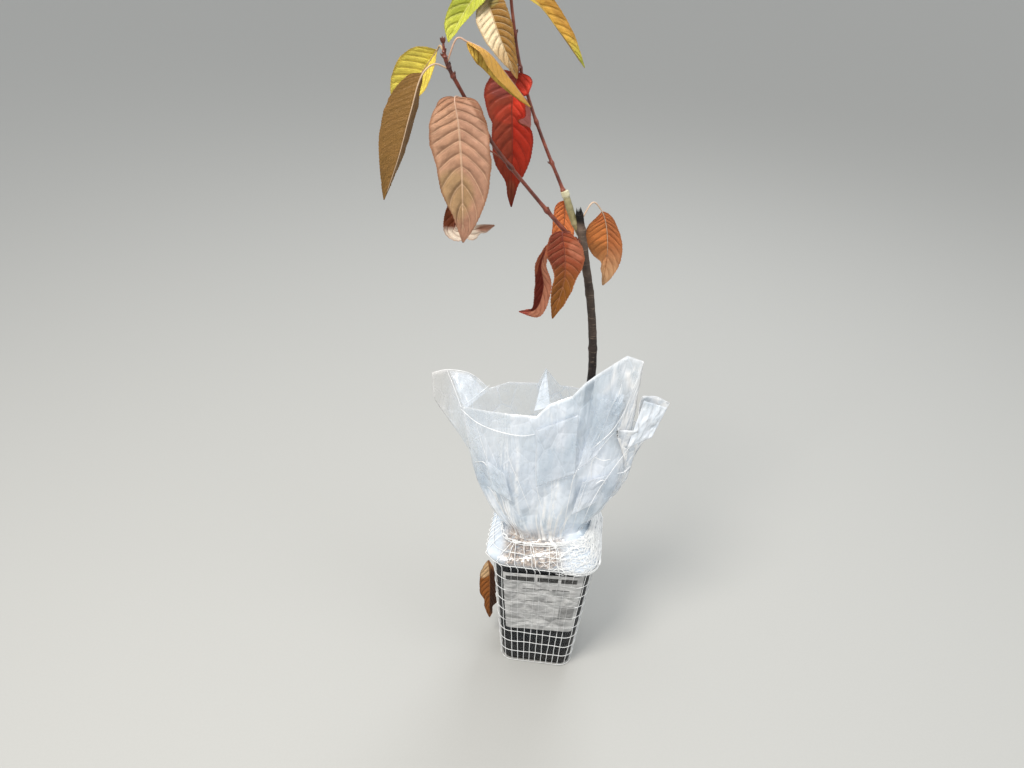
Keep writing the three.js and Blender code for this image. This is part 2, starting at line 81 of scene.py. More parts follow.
def facets(around, up, cells, seed):  # flat random facets with sharp creases; around comes back after cells
    table = np.random.default_rng(seed).uniform(-1, 1, (cells, 64))
    up = up + 0.3 * np.sin(around * 2 * np.pi * 3 / cells + seed)
    around = around + 0.35 * np.sin(up * 1.7 + seed) + up / 2
    i = np.floor(around).astype(int)
    j = np.floor(up).astype(int)
    x = around - i
    y = up - j

    def height(right, above):
        return table[(i + right) % cells, (j + above) % 64]

    lower = height(0, 0) + x * (height(1, 0) - height(0, 0)) + y * (height(1, 1) - height(1, 0))
    upper = height(0, 0) + y * (height(0, 1) - height(0, 0)) + x * (height(1, 1) - height(0, 1))
    return np.where(x > y, lower, upper)


def through(points, shares):  # smooth centripetal curve through points, shares 0 to 1 along it
    points = np.asarray(points, float)
    spots = np.asarray(shares, float) * (len(points) - 1)
    first = np.clip(np.floor(spots).astype(int), 0, len(points) - 2)
    padded = np.concatenate([[2 * points[0] - points[1]], points, [2 * points[-1] - points[-2]]])
    p = [padded[first + step] for step in range(4)]
    t = (spots - first).reshape(-1, *[1] * (points.ndim - 1))
    steps = [p[k + 1] - p[k] for k in range(3)]
    gap = [np.maximum(np.linalg.norm(step, axis=-1, keepdims=True), 1e-6) ** 0.5 for step in steps]
    rise = [step / width for step, width in zip(steps, gap)]
    start = (rise[0] - (p[2] - p[0]) / (gap[0] + gap[1]) + rise[1]) * gap[1]
    end = (rise[1] - (p[3] - p[1]) / (gap[1] + gap[2]) + rise[2]) * gap[1]
    bend = 3 * (p[2] - p[1]) - 2 * start - end
    return p[1] + start * t + bend * t**2 + (2 * (p[1] - p[2]) + start + end) * t**3


def heading(degrees):
    angle = np.radians(degrees)
    return stack(np.cos(angle), np.sin(angle), 0)


def gridNormals(grid):  # cross product of the two ways along a grid that closes round its columns
    across = np.roll(grid, -1, axis=1) - np.roll(grid, 1, axis=1)
    return unit(np.cross(across, np.gradient(grid, axis=0)))


# meshes from arrays
def gridFaces(rows, columns, closedRows):  # corners of the faces between rows of closed rings
    r = np.arange(rows if closedRows else rows - 1)[:, None]
    c = np.arange(columns)[None, :]
    above = (r + 1) % rows * columns
    beside = (c + 1) % columns
    corners = [r * columns + c, r * columns + beside, above + beside, above + c]
    return np.stack(np.broadcast_arrays(*corners), -1).reshape(-1, 4)


def meshPiece(name, points, faces, uvs=None, values=None, materials=(), slots=None, smoothShade=True):
    mesh = bpy.data.meshes.new(name)
    mesh.from_pydata(np.asarray(points) * mm, [], faces)
    if uvs is not None:
        layer = mesh.uv_layers.new(name="UVMap")
        layer.data.foreach_set("uv", np.asarray(uvs, np.float32).ravel())
    for key, value in (values or {}).items():
        field = mesh.attributes.new(key, "FLOAT", "POINT")
        field.data.foreach_set("value", np.asarray(value, np.float32).ravel())
    for material in materials:
        mesh.materials.append(material)
    if slots is not None:
        mesh.polygons.foreach_set("material_index", np.asarray(slots, np.int32))
    mesh.polygons.foreach_set("use_smooth", np.full(len(mesh.polygons), smoothShade))
    mesh.update()
    piece = bpy.data.objects.new(name, mesh)
    bpy.context.scene.collection.objects.link(piece)
    return piece


class Skin:  # gathers grids of closed rings into one mesh, with their UVs and values
    def __init__(self, keys=()):
        self.points = []
        self.faces = []
        self.uvs = []
        self.slots = []
        self.values = {key: [] for key in keys}
        self.count = 0

    def add(self, grid, closedRows=False, u=None, v=None, slot=0, **values):  # capped unless the rows close
        rows, columns = grid.shape[:2]
        faces = gridFaces(rows, columns, closedRows)
        u = np.linspace(0, 1, columns + 1)[:columns] if u is None else u
        v = np.linspace(0, 1, rows) if v is None else v
        u = np.broadcast_to(u, (rows, columns)).ravel()
        v = np.broadcast_to(np.reshape(v, (-1, 1)), (rows, columns)).ravel()
        around = u[faces]
        if u[columns - 1] > 0.9:  # the last column's faces end at 1, not back at 0
            wraps = (faces[:, 1] % columns == 0)[:, None] & (around < 0.01)
            around = np.where(wraps & np.array([False, True, True, False]), 1.0, around)
        self.points.append(grid.reshape(-1, 3))
        self.faces += (faces + self.count).tolist()
        self.uvs.append(np.stack([around, v[faces]], -1).reshape(-1, 2))
        self.slots += [slot] * len(faces)
        for key, store in self.values.items():
            store.append(np.broadcast_to(values.get(key, 0), (rows, columns)).ravel())
        ring = np.arange(columns) + self.count
        for cap in () if closedRows else (ring[::-1], ring + (rows - 1) * columns):
            self.faces.append(cap.tolist())
            self.uvs.append(np.full((columns, 2), 0.5))
            self.slots.append(slot)
        self.count += rows * columns
        return self

    def piece(self, name, *materials):
        points, uvs = np.concatenate(self.points), np.concatenate(self.uvs)
        values = {key: np.concatenate(store) for key, store in self.values.items()}
        return meshPiece(name, points, self.faces, uvs, values, materials, self.slots)


def bothSides(upper, lower, u, v, **values):  # what Skin.add takes for a thin sheet
    loops = np.concatenate([upper, lower[:, ::-1]], axis=1)
    return dict(grid=loops, u=np.concatenate([u, u[::-1]]), v=v, **values)


def tube(path, radius, sides, across=(0.0, 1.0, 0.0)):  # rings round a path and square to it
    along = unit(np.gradient(path, axis=0))
    side = unit(np.cross(along, across))
    front = np.cross(side, along)
    angle = (np.arange(sides) * 2 * np.pi / sides)[:, None]
    ring = np.cos(angle) * side[:, None] + np.sin(angle) * front[:, None]
    return path[:, None] + ring * np.broadcast_to(radius, len(path))[:, None, None]


def finished(piece, slot, *nodes):  # every piece rides on the one body, and the imported parts it stands for are hidden
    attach(piece, "root")
    if nodes:
        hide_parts(*nodes)


# shader maths as Python expressions
class Signal:
    def __init__(self, finish, socket):
        self.finish = finish
        self.socket = socket

    def math(self, operation, *values):
        return self.finish.node("ShaderNodeMath", {"operation": operation}, values)

    def __add__(self, other):
        return self.math("ADD", self, other)

    def __sub__(self, other):
        return self.math("SUBTRACT", self, other)

    def __rsub__(self, other):
        return self.math("SUBTRACT", other, self)

    def __mul__(self, other):
        return self.math("MULTIPLY", self, other)

    def __truediv__(self, other):
        return self.math("DIVIDE", self, other)

    def __pow__(self, other):
        return self.math("POWER", self, other)

    def __abs__(self):
        return self.math("ABSOLUTE", self)

    __radd__ = __add__
    __rmul__ = __mul__


class Finish:  # one procedural material; colours may be text, and underscores stand for a socket's spaces
    def __init__(self, name, **fixed):
        self.material = bpy.data.materials.new(name)
        self.material.use_nodes = True
        self.tree = self.material.node_tree
        self.shader = self.tree.nodes["Principled BSDF"]
        self.place = self.node("ShaderNodeTexCoord", {}, out="Object")
        self.set(**fixed)

    def feed(self, value, socket):
        if isinstance(value, Signal):
            self.tree.links.new(value.socket, socket)
        else:
            socket.default_value = paint(value) if isinstance(value, str) else value

    def set(self, **values):
        for key, value in values.items():
            self.feed(value, self.shader.inputs[key.replace("_", " ")])

    def done(self, height, distance, **values):  # bump and other sockets go in, the material comes out
        bump = self.node("ShaderNodeBump", {}, {"Height": height, "Distance": distance})
        self.set(Normal=bump, **values)
        return self.material

    def node(self, kind, settings, values=(), out=0):
        made = self.tree.nodes.new(kind)
        for key, value in settings.items():
            if key == "stops":
                fillRamp(made.color_ramp, value)
            else:
                setattr(made, key, value)
        for key, value in values.items() if isinstance(values, dict) else enumerate(values):
            self.feed(value, made.inputs[key])
        return Signal(self, made.outputs[out])

    def uv(self):
        return self.node("ShaderNodeUVMap", {"uv_map": "UVMap"})

    def value(self, key):
        return self.node("ShaderNodeAttribute", {"attribute_name": key}, out="Fac")

    def parts(self, vector):
        return [self.node("ShaderNodeSeparateXYZ", {}, [vector], out=axis) for axis in range(3)]

    def stretched(self, *factors):
        return self.node("ShaderNodeVectorMath", {"operation": "MULTIPLY"}, [self.place, factors])

    def noise(self, scale, detail=3.0, roughness=0.55, over=None):
        inputs = {"Vector": over or self.place, "Scale": scale, "Detail": detail, "Roughness": roughness}
        return self.node("ShaderNodeTexNoise", {}, inputs)

    def cells(self, scale, feature="F1", over=None):
        inputs = {"Vector": over or self.place, "Scale": scale}
        return self.node("ShaderNodeTexVoronoi", {"feature": feature}, inputs)

    def seams(self, scale, over=None):  # 0 on the borders between cells
        return self.cells(scale, "DISTANCE_TO_EDGE", over)

    def band(self, signal, low, high, start=0.0, end=1.0):  # start below low, end above high, soft between
        inputs = {"Value": signal, "From Min": low, "From Max": high, "To Min": start, "To Max": end}
        return self.node("ShaderNodeMapRange", {"interpolation_type": "SMOOTHSTEP"}, inputs)

    def ramp(self, signal, *stops):
        return self.node("ShaderNodeValToRGB", {"stops": stops}, [signal])

    def blend(self, share, a, b, how="MIX"):
        settings = {"data_type": "RGBA", "blend_type": how, "clamp_factor": True}
        return self.node("ShaderNodeMix", settings, {0: share, 6: a, 7: b}, out=2)


def fillRamp(ramp, stops):
    while len(ramp.elements) < len(stops):
        ramp.elements.new(0.5)
    for element, (spot, shade) in zip(ramp.elements, stops):
        element.position = spot
        element.color = paint(shade) if isinstance(shade, str) else shade


def paint(text):  # "b98468" as the eye sees it, turned into scene-linear red, green, blue and 1
    seen = [int(text[at:at + 2], 16) / 255 for at in (0, 2, 4)]
    return (*[((c + 0.055) / 1.055) ** 2.4 if c > 0.04045 else c / 12.92 for c in seen], 1.0)


def dimmed(colour, share):
    return [part * share for part in colour[:3]] + [1]


# camera, floor and light
camera = dict(
    place=(0.02875, -1.11237, 1.288), ahead=(-0.08124633, 0.8437754, -0.53051118),
    up=(-0.1020074, 0.52243638, 0.84655462), lens=28.31,
)
studio = dict(
    floorHalf=30.0, floorShade=paint("b4b4b1"), sky=paint("eef0f1"), skyStrength=0.84, aim=(0, 0, 0.6),
    lamps=[
        dict(place=(-0.9, -1.3, 2.9), size=0.9, watts=74, tint=(1.0, 0.95, 0.88)),
        dict(place=(1.9, -0.7, 2.0), size=1.2, watts=10, tint=(1.0, 1.0, 1.0)),
        dict(place=(0.4, 1.9, 2.9), size=1.2, watts=30, tint=(0.95, 0.98, 1.0)),
    ],
)


def makeCamera():
    ahead = Vector(camera["ahead"]).normalized()
    right = ahead.cross(Vector(camera["up"])).normalized()
    up = right.cross(ahead)
    data = bpy.data.cameras.new("camera")
    data.lens = camera["lens"]
    data.sensor_width = 36
    data.sensor_fit = "HORIZONTAL"
    data.clip_start = 0.01
    eye = bpy.data.objects.new("camera", data)
    turn = Matrix((right, up, -ahead)).transposed()
    eye.matrix_world = Matrix.Translation(camera["place"]) @ turn.to_4x4()
    bpy.context.scene.collection.objects.link(eye)
    bpy.context.scene.camera = eye


def makeStudio():
    half = studio["floorHalf"] / mm
    corners = [(-half, -half, 0), (half, -half, 0), (half, half, 0), (-half, half, 0)]
    finish = Finish("floorFinish", Roughness=0.7)
    low = dimmed(studio["floorShade"], 0.94)
    finish.set(Base_Color=finish.blend(finish.noise(260.0, 4.0), low, studio["floorShade"]))
    floor = meshPiece("floor", corners, [(0, 1, 2, 3)], materials=[finish.material], smoothShade=False)
    world = bpy.data.worlds.new("softSky")
    world.use_nodes = True
    sky = world.node_tree.nodes["Background"]
    sky.inputs["Color"].default_value = studio["sky"]
    sky.inputs["Strength"].default_value = studio["skyStrength"]
    bpy.context.scene.world = world
    for number, lamp in enumerate(studio["lamps"]):
        data = bpy.data.lights.new(f"lamp{number}", "AREA")
        data.size = lamp["size"]
        data.energy = lamp["watts"]
        data.color = lamp["tint"]
        light = bpy.data.objects.new(f"lamp{number}", data)
        light.location = lamp["place"]
        aim = Vector(studio["aim"]) - Vector(lamp["place"])
        light.rotation_euler = aim.to_track_quat("-Z", "Y").to_euler()
        bpy.context.scene.collection.objects.link(light)


makeCamera()
makeStudio()
bpy.context.scene.view_settings.view_transform = "Standard"
bpy.context.scene.cycles.transparent_max_bounces = 40
print("camera, floor and light are in place")


# the pot's tapering rounded square, which the film, label and net follow
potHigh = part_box("pot")[1].z / mm
pot = dict(
    height=potHigh, baseHalf=65.5, rimHalf=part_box("pot")[1].x / mm, baseCorner=22, rimCorner=30,
    wall=1.6, floor=3, footRound=5, wallFrom=30, rimBand=13, rimStep=1.2, stepRound=0.6, lipRound=0.8,
    drainRadius=6, drainReach=36, drainSides=32,
    cornerFrom=4 / 11, cornerTo=7 / 11, columns=308,
)


def squareOutline(turn, half, corner):  # straights and arcs, anticlockwise from the middle of the front
    quarter = np.floor(turn * 4)
    along = turn * 4 - quarter
    straight = half - corner
    arc = np.clip((along - pot["cornerFrom"]) / (pot["cornerTo"] - pot["cornerFrom"]), 0, 1) * np.pi / 2
    x = np.minimum(along / pot["cornerFrom"], 1) * straight + corner * np.sin(arc)
    y = -np.minimum((1 - along) / (1 - pot["cornerTo"]), 1) * straight - corner * np.cos(arc)
    spin = quarter * np.pi / 2
    return x * np.cos(spin) - y * np.sin(spin), x * np.sin(spin) + y * np.cos(spin)


def wall(turn, z, offset):  # point on the pot's outline at height z, moved outward by offset
    share = z / pot["height"]
    half = mix(pot["baseHalf"], pot["rimHalf"], share) + offset
    corner = np.maximum(mix(pot["baseCorner"], pot["rimCorner"], share) + offset, 0.5)
    x, y = squareOutline(turn, np.maximum(half, 1), np.minimum(corner, np.maximum(half, 1) - 0.5))
    return stack(x, y, z)


def wallRows(turn, profile):  # one ring for each height and offset of a profile
    z, offset = np.array(profile, float).T
    return wall(turn[None, :], z[:, None], offset[:, None])


def roundCorner(z, offset, radius, startAngle, endAngle, steps=6):  # arc of a profile, angles in degrees
    angle = np.radians(np.linspace(startAngle, endAngle, steps))
    return [(z + radius * np.sin(a), offset + radius * np.cos(a)) for a in angle]


def blackPlastic():
    finish = Finish("potFinish", Roughness=0.42, Specular_IOR_Level=0.2)
    dust = finish.band(finish.noise(28.0, 5.0), 0.45, 0.75)
    splash = finish.band(finish.parts(finish.place)[2], 0.0, 0.06, 1.0, 0.0) * finish.noise(160.0, 4.0)
    return finish.done(
        finish.noise(900.0, 2.0), 0.0002,
        Base_Color=finish.blend(dust * 0.15 + splash * 0.4, "0d0e11", "4a453f"),
        Roughness=finish.band(finish.noise(90.0), 0.3, 0.7, 0.45, 0.65),
    )


def makePot():
    turn = np.arange(pot["columns"]) / pot["columns"]
    body = -pot["rimStep"]
    inside = body - pot["wall"]
    footRound, floor, height = pot["footRound"], pot["floor"], pot["height"]
    band = height - pot["rimBand"]
    profile = [(0, body - footRound), *roundCorner(footRound, body - footRound, footRound, -75, 0)]
    profile += [(z, body) for z in np.linspace(pot["wallFrom"], band - pot["stepRound"], 9)]
    step, lip = pot["stepRound"], pot["lipRound"]
    profile += [*roundCorner(band + step, body + step, -step, 0, -90, 3)]
    profile += [*roundCorner(band + step, -step, step, -90, 0, 4), (mix(band, height, 0.5), 0)]
    profile += [*roundCorner(height - lip, -lip, lip, 0, 90, 5)]
    profile += [*roundCorner(height - lip, inside + lip, lip, 90, 180, 4), (height / 2, inside)]
    profile += [*roundCorner(floor + footRound, inside - footRound, footRound, 0, -90)]
    cup = Skin().add(wallRows(turn, profile)).piece("nurseryPot", blackPlastic())
    drill = Skin()
    angle = np.arange(pot["drainSides"]) * 2 * np.pi / pot["drainSides"]
    circle = pot["drainRadius"] * stack(np.cos(angle), np.sin(angle), 0)
    for x, y in [(1, 1), (-1, 1), (-1, -1), (1, -1)]:
        centre = np.array([x * pot["drainReach"], y * pot["drainReach"], 0])
        drill.add(np.array([circle + centre + (0, 0, z) for z in (-1, floor + 1)]))
    cutter = drill.piece("drill")
    cut = cup.modifiers.new("drainHoles", "BOOLEAN")
    cut.object = cutter
    cut.solver = "EXACT"
    bpy.context.view_layer.update()
    cup.data = bpy.data.meshes.new_from_object(cup.evaluated_get(bpy.context.evaluated_depsgraph_get()))
    cup.modifiers.clear()
    bpy.data.objects.remove(cutter)
    finished(cup, "pot", "pot")


makePot()
print("pot made")


# the root ball's lumpy top, with loose crumbs on it
soil = dict(
    top=260, gap=0.4, stemX=22, calmFrom=12, calm=34, lump=3.2, crumb=1.6, crumbs=900, crumbSizes=(1.0, 4.2),
    crumbSpread=80, crumbReach=76, crumbClear=14, seed=11, columns=220,
    side=[(3.4, 5), (9, 0), (130, 0), (244, 0), (252, 0.2)],  # height and how far in
    edgeDrop=4, edgeWidth=4,
)


def soilFinish():
    finish = Finish("soilFinish", Roughness=0.95)
    grain = finish.noise(240.0, 6.0, 0.7)
    chips = finish.cells(170.0)
    shade = finish.ramp(grain, (0.3, "1d130d"), (0.52, "4a3324"), (0.72, "8a6a4a"))
    shade = finish.blend(chips * 0.9, shade, "2c1e15")
    return finish.done(grain * 0.7 + chips * 0.5, 0.002, Base_Color=shade)


def soilTop(p):  # height of the lumpy top, calm round the stem
    away = np.hypot(p[..., 0] - soil["stemX"], p[..., 1])
    calm = smooth((away - soil["calmFrom"]) / soil["calm"])
    lumps = soil["lump"] * (hills(p, 26, 3) + 0.2) + soil["crumb"] * hills(p, 6, 4)
    return soil["top"] + lumps * calm * 0.6


def makeSoil():
    side = -pot["rimStep"] - pot["wall"] - soil["gap"]
    turn = np.arange(soil["columns"]) / soil["columns"]
    shell = [(height, side - inset) for height, inset in soil["side"]]
    inset = np.concatenate([np.linspace(1.5, 30, 24), np.linspace(32, 80, 30)])
    mound = wallRows(turn, [(soil["top"], side - step) for step in inset])
    mound[..., 2] = soilTop(mound) - soil["edgeDrop"] * hump(inset, 0, soil["edgeWidth"])[:, None]
    grid = np.concatenate([wallRows(turn, shell), mound])
    finished(Skin().add(grid).piece("rootBall", soilFinish()), "soil", "soil")


def lumpPoints(centre, size, random):  # a small eight-cornered clod, its corners pushed about
    corners = np.array([[x, y, z] for x in (-1, 1) for y in (-1, 1) for z in (-1, 1)], float)
    return centre + corners * random.uniform(0.35, 0.75, (8, 3)) * size


def makeCrumbs():
    random = np.random.default_rng(soil["seed"])
    spread = random.uniform(-soil["crumbSpread"], soil["crumbSpread"], (soil["crumbs"] * 2, 2))
    away = np.hypot(spread[:, 0] - soil["stemX"], spread[:, 1])
    kept = (np.abs(spread).max(1) < soil["crumbReach"]) & (away > soil["crumbClear"])
    spread = spread[kept][:soil["crumbs"]]
    centres = stack(spread[:, 0], spread[:, 1], soil["top"])
    centres[:, 2] = soilTop(centres) + 0.5
    count = len(centres)
    boxFaces = np.array([(0, 1, 3, 2), (4, 6, 7, 5), (0, 4, 5, 1), (2, 3, 7, 6), (0, 2, 6, 4), (1, 5, 7, 3)])
    sizes = random.uniform(*soil["crumbSizes"], (count, 1)) * random.uniform(0.5, 1.3, (count, 3))
    points = np.concatenate([lumpPoints(c, s, random) for c, s in zip(centres, sizes)])
    faces = (boxFaces[None] + 8 * np.arange(count)[:, None, None]).reshape(-1, 4)
    tint = np.repeat(random.uniform(0, 1, count), 8)
    finish = Finish("crumbFinish", Roughness=0.9)
    grain = finish.noise(500.0) * 0.3 + finish.value("tint") * 0.8
    shade = finish.ramp(grain, (0.1, "20150e"), (0.5, "4c3526"), (0.8, "9a7650"), (1.0, "c9b08a"))
    finish.set(Base_Color=shade)
    look = dict(values={"tint": tint}, materials=[finish.material], smoothShade=False)
    finished(meshPiece("soilCrumbs", points, faces.tolist(), **look), "soil")


makeSoil()
makeCrumbs()
print("root ball made")


# the clear film: over the pot, in to a neck, then a flare of pleats up to an open mouth with pointed lobes
film = dict(
    gap=0.4, thickness=0.25, hem=10, hemRows=21, shoulderRows=23, flareRows=76, columns=308, sheetRows=26,
    pleats=9, pleatDepth=4, shrink=2.2, gather=2.2, gatherRise=22, gatherReach=50, longFold=3.4,
    foldRings=40, foldSides=6, edgePaintedHighlight=0.55,
    neck=dict(centre=(-1, 0), half=(73, 51), height=303, tilt=16),
    waist=dict(centre=(-6, 2), half=(99, 59), height=342, tilt=8),
    body=dict(centre=(-6, 5), half=(136, 70), height=424, tilt=4),
    mouth=[  # corners of the mouth: column, then x, y and z
        (0, -31, -66, 573), (1, -11, -63, 597), (3, 23, -58, 613), (4.2, 41, -45, 632), (5, 58, -30, 640),
        (7, 102, 2, 661), (8, 126, 8, 651), (9, 96, -38, 544), (10, 136, -26, 539), (11, 134, -8, 596),
        (11.5, 157, 0, 594), (12, 180, 4, 579), (13, 169, 14, 523), (16, 127, 42, 515), (19, 64, 60, 555),
        (21, -2, 68, 556), (22, -28, 68, 587), (23, -40, 67, 556), (25, -90, 64, 554),
        (26, -124, 60, 540), (29, -156, 50, 571), (31, -194, 40, 580), (32, -219, 28, 578),
        (33, -212, 14, 532), (34, -166, -6, 487), (35, -156, -38, 557), (38, -122, -50, 564),
        (41, -78, -59, 569),
    ],
    cloud=[  # column and how cloudy the film is there
        (0, 0.6), (2, 0.72), (4, 0.74), (6, 0.5), (7, 0.3), (8, 0.22), (9, 0.4), (10, 0.5), (12, 0.6),
        (14, 0.3), (16, 0.15), (20, 0.12), (22, 0.2), (24, 0.12), (27, 0.12), (30, 0.2), (32, 0.12),
        (34, 0.14), (36, 0.24), (38, 0.34), (40, 0.26), (42, 0.44), (44, 0.6),
    ],
    foldsAndGlints=[  # bright fold lines, white from their crease value (partly the film's own whitening, partly painted highlight): thickness, then the points they run through
        (0.7, [(-156, -42, 558), (-129, -54, 544), (-102, -59, 536), (-75, -64, 534), (-50, -65, 534),
               (-30, -65, 540)]),
        (0.5, [(-30, -66, 549), (-28, -68, 524), (-25, -69, 468), (-22, -69, 438), (-12, -68, 396),
               (2, -66, 353)]),
        (0.7, [(121, -2, 625), (111, -19, 584), (91, -36, 542), (69, -49, 521), (52, -58, 503),
               (41, -65, 476), (33, -69, 440)]),
        (0.6, [(98, -14, 619), (94, -21, 601), (86, -29, 586), (77, -40, 553), (67, -50, 528)]),
        (0.5, [(95, -41, 544), (75, -48, 512), (64, -54, 487), (66, -54, 451), (58, -56, 420)]),
        (0.6, [(136, -29, 538), (119, -29, 500), (99, -43, 467), (83, -53, 437), (70, -55, 398),
               (62, -52, 360)]),
        (0.5, [(-76, -64, 531), (-72, -65, 491), (-50, -66, 433), (-30, -65, 379)]),
        (0.4, [(-129, -54, 544), (-115, -52, 490), (-96, -54, 438), (-69, -62, 394)]),
        (0.4, [(2, -71, 455), (5, -72, 413), (15, -70, 369), (25, -54, 325)]),
        (0.5, [(38, -66, 476), (34, -70, 426), (31, -69, 381), (31, -54, 325)]),
        (0.4, [(63, -56, 472), (54, -62, 422), (47, -58, 363), (43, -48, 325)]),
        (0.6, [(-28, 66, 587), (-27, 60, 560), (-24, 20, 566), (-13, -60, 593)]),
        (0.6, [(-218, 26, 578), (-194, 38, 580), (-156, 48, 571), (-124, 58, 540)]),
        (0.5, [(-194, 38, 580), (-176, 12, 560), (-156, -36, 557)]),
        (0.6, [(-122, 56, 547), (-140, 20, 545), (-157, -34, 556)]),
        # The last six short lines are painted glints, not folds.
        (0.7, [(108, -46, 465), (120, -38, 464), (129, -30, 471)]),
        (0.7, [(75, -57, 448), (86, -54, 454), (91, -51, 444)]),
        (0.6, [(67, -62, 505), (82, -60, 499), (94, -57, 501)]),
        (0.6, [(108, -54, 525), (118, -49, 518), (123, -43, 507)]),
        (0.7, [(-132, -29, 443), (-115, -42, 454), (-105, -47, 443)]),
        (0.5, [(-109, -34, 397), (-97, -40, 389), (-89, -43, 370)]),
    ],
    sheets=[  # loose overlaps: cloudiness, crumple, corners low left, low right, top right and top left
        (0.40, 0.8, (-22, -70, 438), (39, -66, 470), (35, -60, 583), (-30, -67, 549)),
        (0.38, 0.4, (-36, -50, 573), (-10, -60, 590), (-27, 66, 585), (-32, 10, 580)),
        (0.30, 0.8, (41, -67, 478), (70, -51, 500), (108, -20, 588), (66, -42, 606)),
        (0.8, 3.0, (119, -28, 505), (158, -10, 520), (176, 0, 574), (136, -14, 592)),
        (0.5, 2.0, (84, -34, 572), (98, -28, 566), (104, -16, 600), (90, -20, 604)),
        (0.16, 1.2, (-150, -36, 552), (-126, 50, 536), (-156, 46, 568), (-190, 36, 578)),
        (0.36, 1.8, (-96, -58, 410), (-62, -66, 396), (-76, -64, 452), (-112, -52, 470)),
        (0.30, 1.6, (40, -64, 380), (78, -50, 400), (98, -44, 462), (52, -62, 452)),
    ],
)
drape = dict(left=14, right=7, height=274, rise=2.5, sharpness=4)  # the loose ring over the rim


def oval(turn, shape):  # tilted oval, higher on its right side
    angle = turn * 2 * np.pi - np.pi / 2
    return stack(
        shape["centre"][0] + shape["half"][0] * np.cos(angle),
        shape["centre"][1] + shape["half"][1] * np.sin(angle),
        shape["height"] + shape["tilt"] * np.cos(angle),
    )


def draped(turn, offset):  # pulled out at the left and right
    p = wall(turn, drape["height"], offset)
    side = np.minimum(1, np.abs(p[..., 0]) / pot["rimHalf"])
    reach = np.where(p[..., 0] < 0, drape["left"], drape["right"])
    p[..., 0] += np.sign(p[..., 0]) * reach * side ** drape["sharpness"]
    p[..., 2] += drape["rise"]
    return p


def shoulder(turn, share, lift):  # between the draped ring and the neck, on a rounded rise
    rim = draped(turn, film["gap"])
    neck = oval(turn, film["neck"])
    p = mix(rim, neck, share)
    p[..., 2] = mix(rim[..., 2], neck[..., 2], share**0.5) + lift
    return p


def pleated(p, turn, strength):
    out = unit(p * (1, 1, 0))
    wave = np.sin(turn * 2 * np.pi * film["pleats"]) * film["pleatDepth"] * strength
    return p + out * wave[..., None]


def mouthEdge(turn):  # straight from corner to corner
    corners = np.array(film["mouth"], float)
    corners = np.concatenate([corners, corners[:1] + (1 / turnOfColumn, 0, 0, 0)])
    return stack(*[np.interp(turn / turnOfColumn, corners[:, 0], corners[:, axis]) for axis in (1, 2, 3)])


def filmGrid():  # rows from the hem up to the mouth, the last ones flaring from the neck
    turn = np.arange(film["columns"]) / film["columns"]
    band = pot["height"] - pot["rimBand"]
    low = wall(turn, np.linspace(film["hem"], band, film["hemRows"] + 1)[:-1, None], film["gap"])
    keys = np.array([
        wall(turn, band, film["gap"]), draped(turn, film["gap"]), shoulder(turn, 0.45, 0),
        pleated(oval(turn, film["neck"]), turn, 0.35), pleated(oval(turn, film["waist"]), turn, 1),
        pleated(oval(turn, film["body"]), turn, 0.8), mouthEdge(turn),
    ])
    over = np.linspace(0, 0.5, film["shoulderRows"] + 1)[:-1]
    shares = np.concatenate([over, np.linspace(0.5, 1, film["flareRows"])])
    return turn, np.concatenate([low, through(keys, shares)])


def strips(turn, count, seed):  # random heights round the bag joined by straight lines that meet at creases
    random = np.random.default_rng(seed)
    knots = np.concatenate([[0], np.sort(random.uniform(0, 1, count)), [1]])
    heights = random.uniform(-1, 1, count + 2)
    heights[-1] = heights[0]
    return np.interp(turn % 1, knots, heights)


def crumpled(turn, z, rise):  # how far the film stands in or out; rise is 0 at the neck and 1 at the mouth
    right = hump(turn, 0.25, 0.07)[None]
    gather = hump(z, film["neck"]["height"] + film["gatherRise"], film["gatherReach"]) * (rise > 0)
    drift = turn + 0.006 * np.sin(z * 0.021 + turn * 20)
    pleat = strips(drift, 70, 31) + 0.5 * strips(drift, 130, 32)
    longFold = strips(drift, 30, 33) + 0.4 * strips(drift, 64, 34)
    crumple = (
        2.2 * facets(turn * 14, z / 84, 14, 21) + (0.5 + 1.6 * right) * facets(turn * 38, z / 30, 38, 22)
        + (0.2 + 1.8 * right) * facets(turn * 90, z / 12, 90, 23)
    )
    longFold = film["longFold"] * longFold * (1.15 - rise)
    shift = film["gather"] * gather * pleat + rise**0.7 * (longFold + crumple)
    shift = shift + (rise == 0) * (z < 270) * 0.15 * facets(turn * 30, z / 30, 30, 24)
    return shift - film["shrink"] * np.minimum(1, rise * 6)


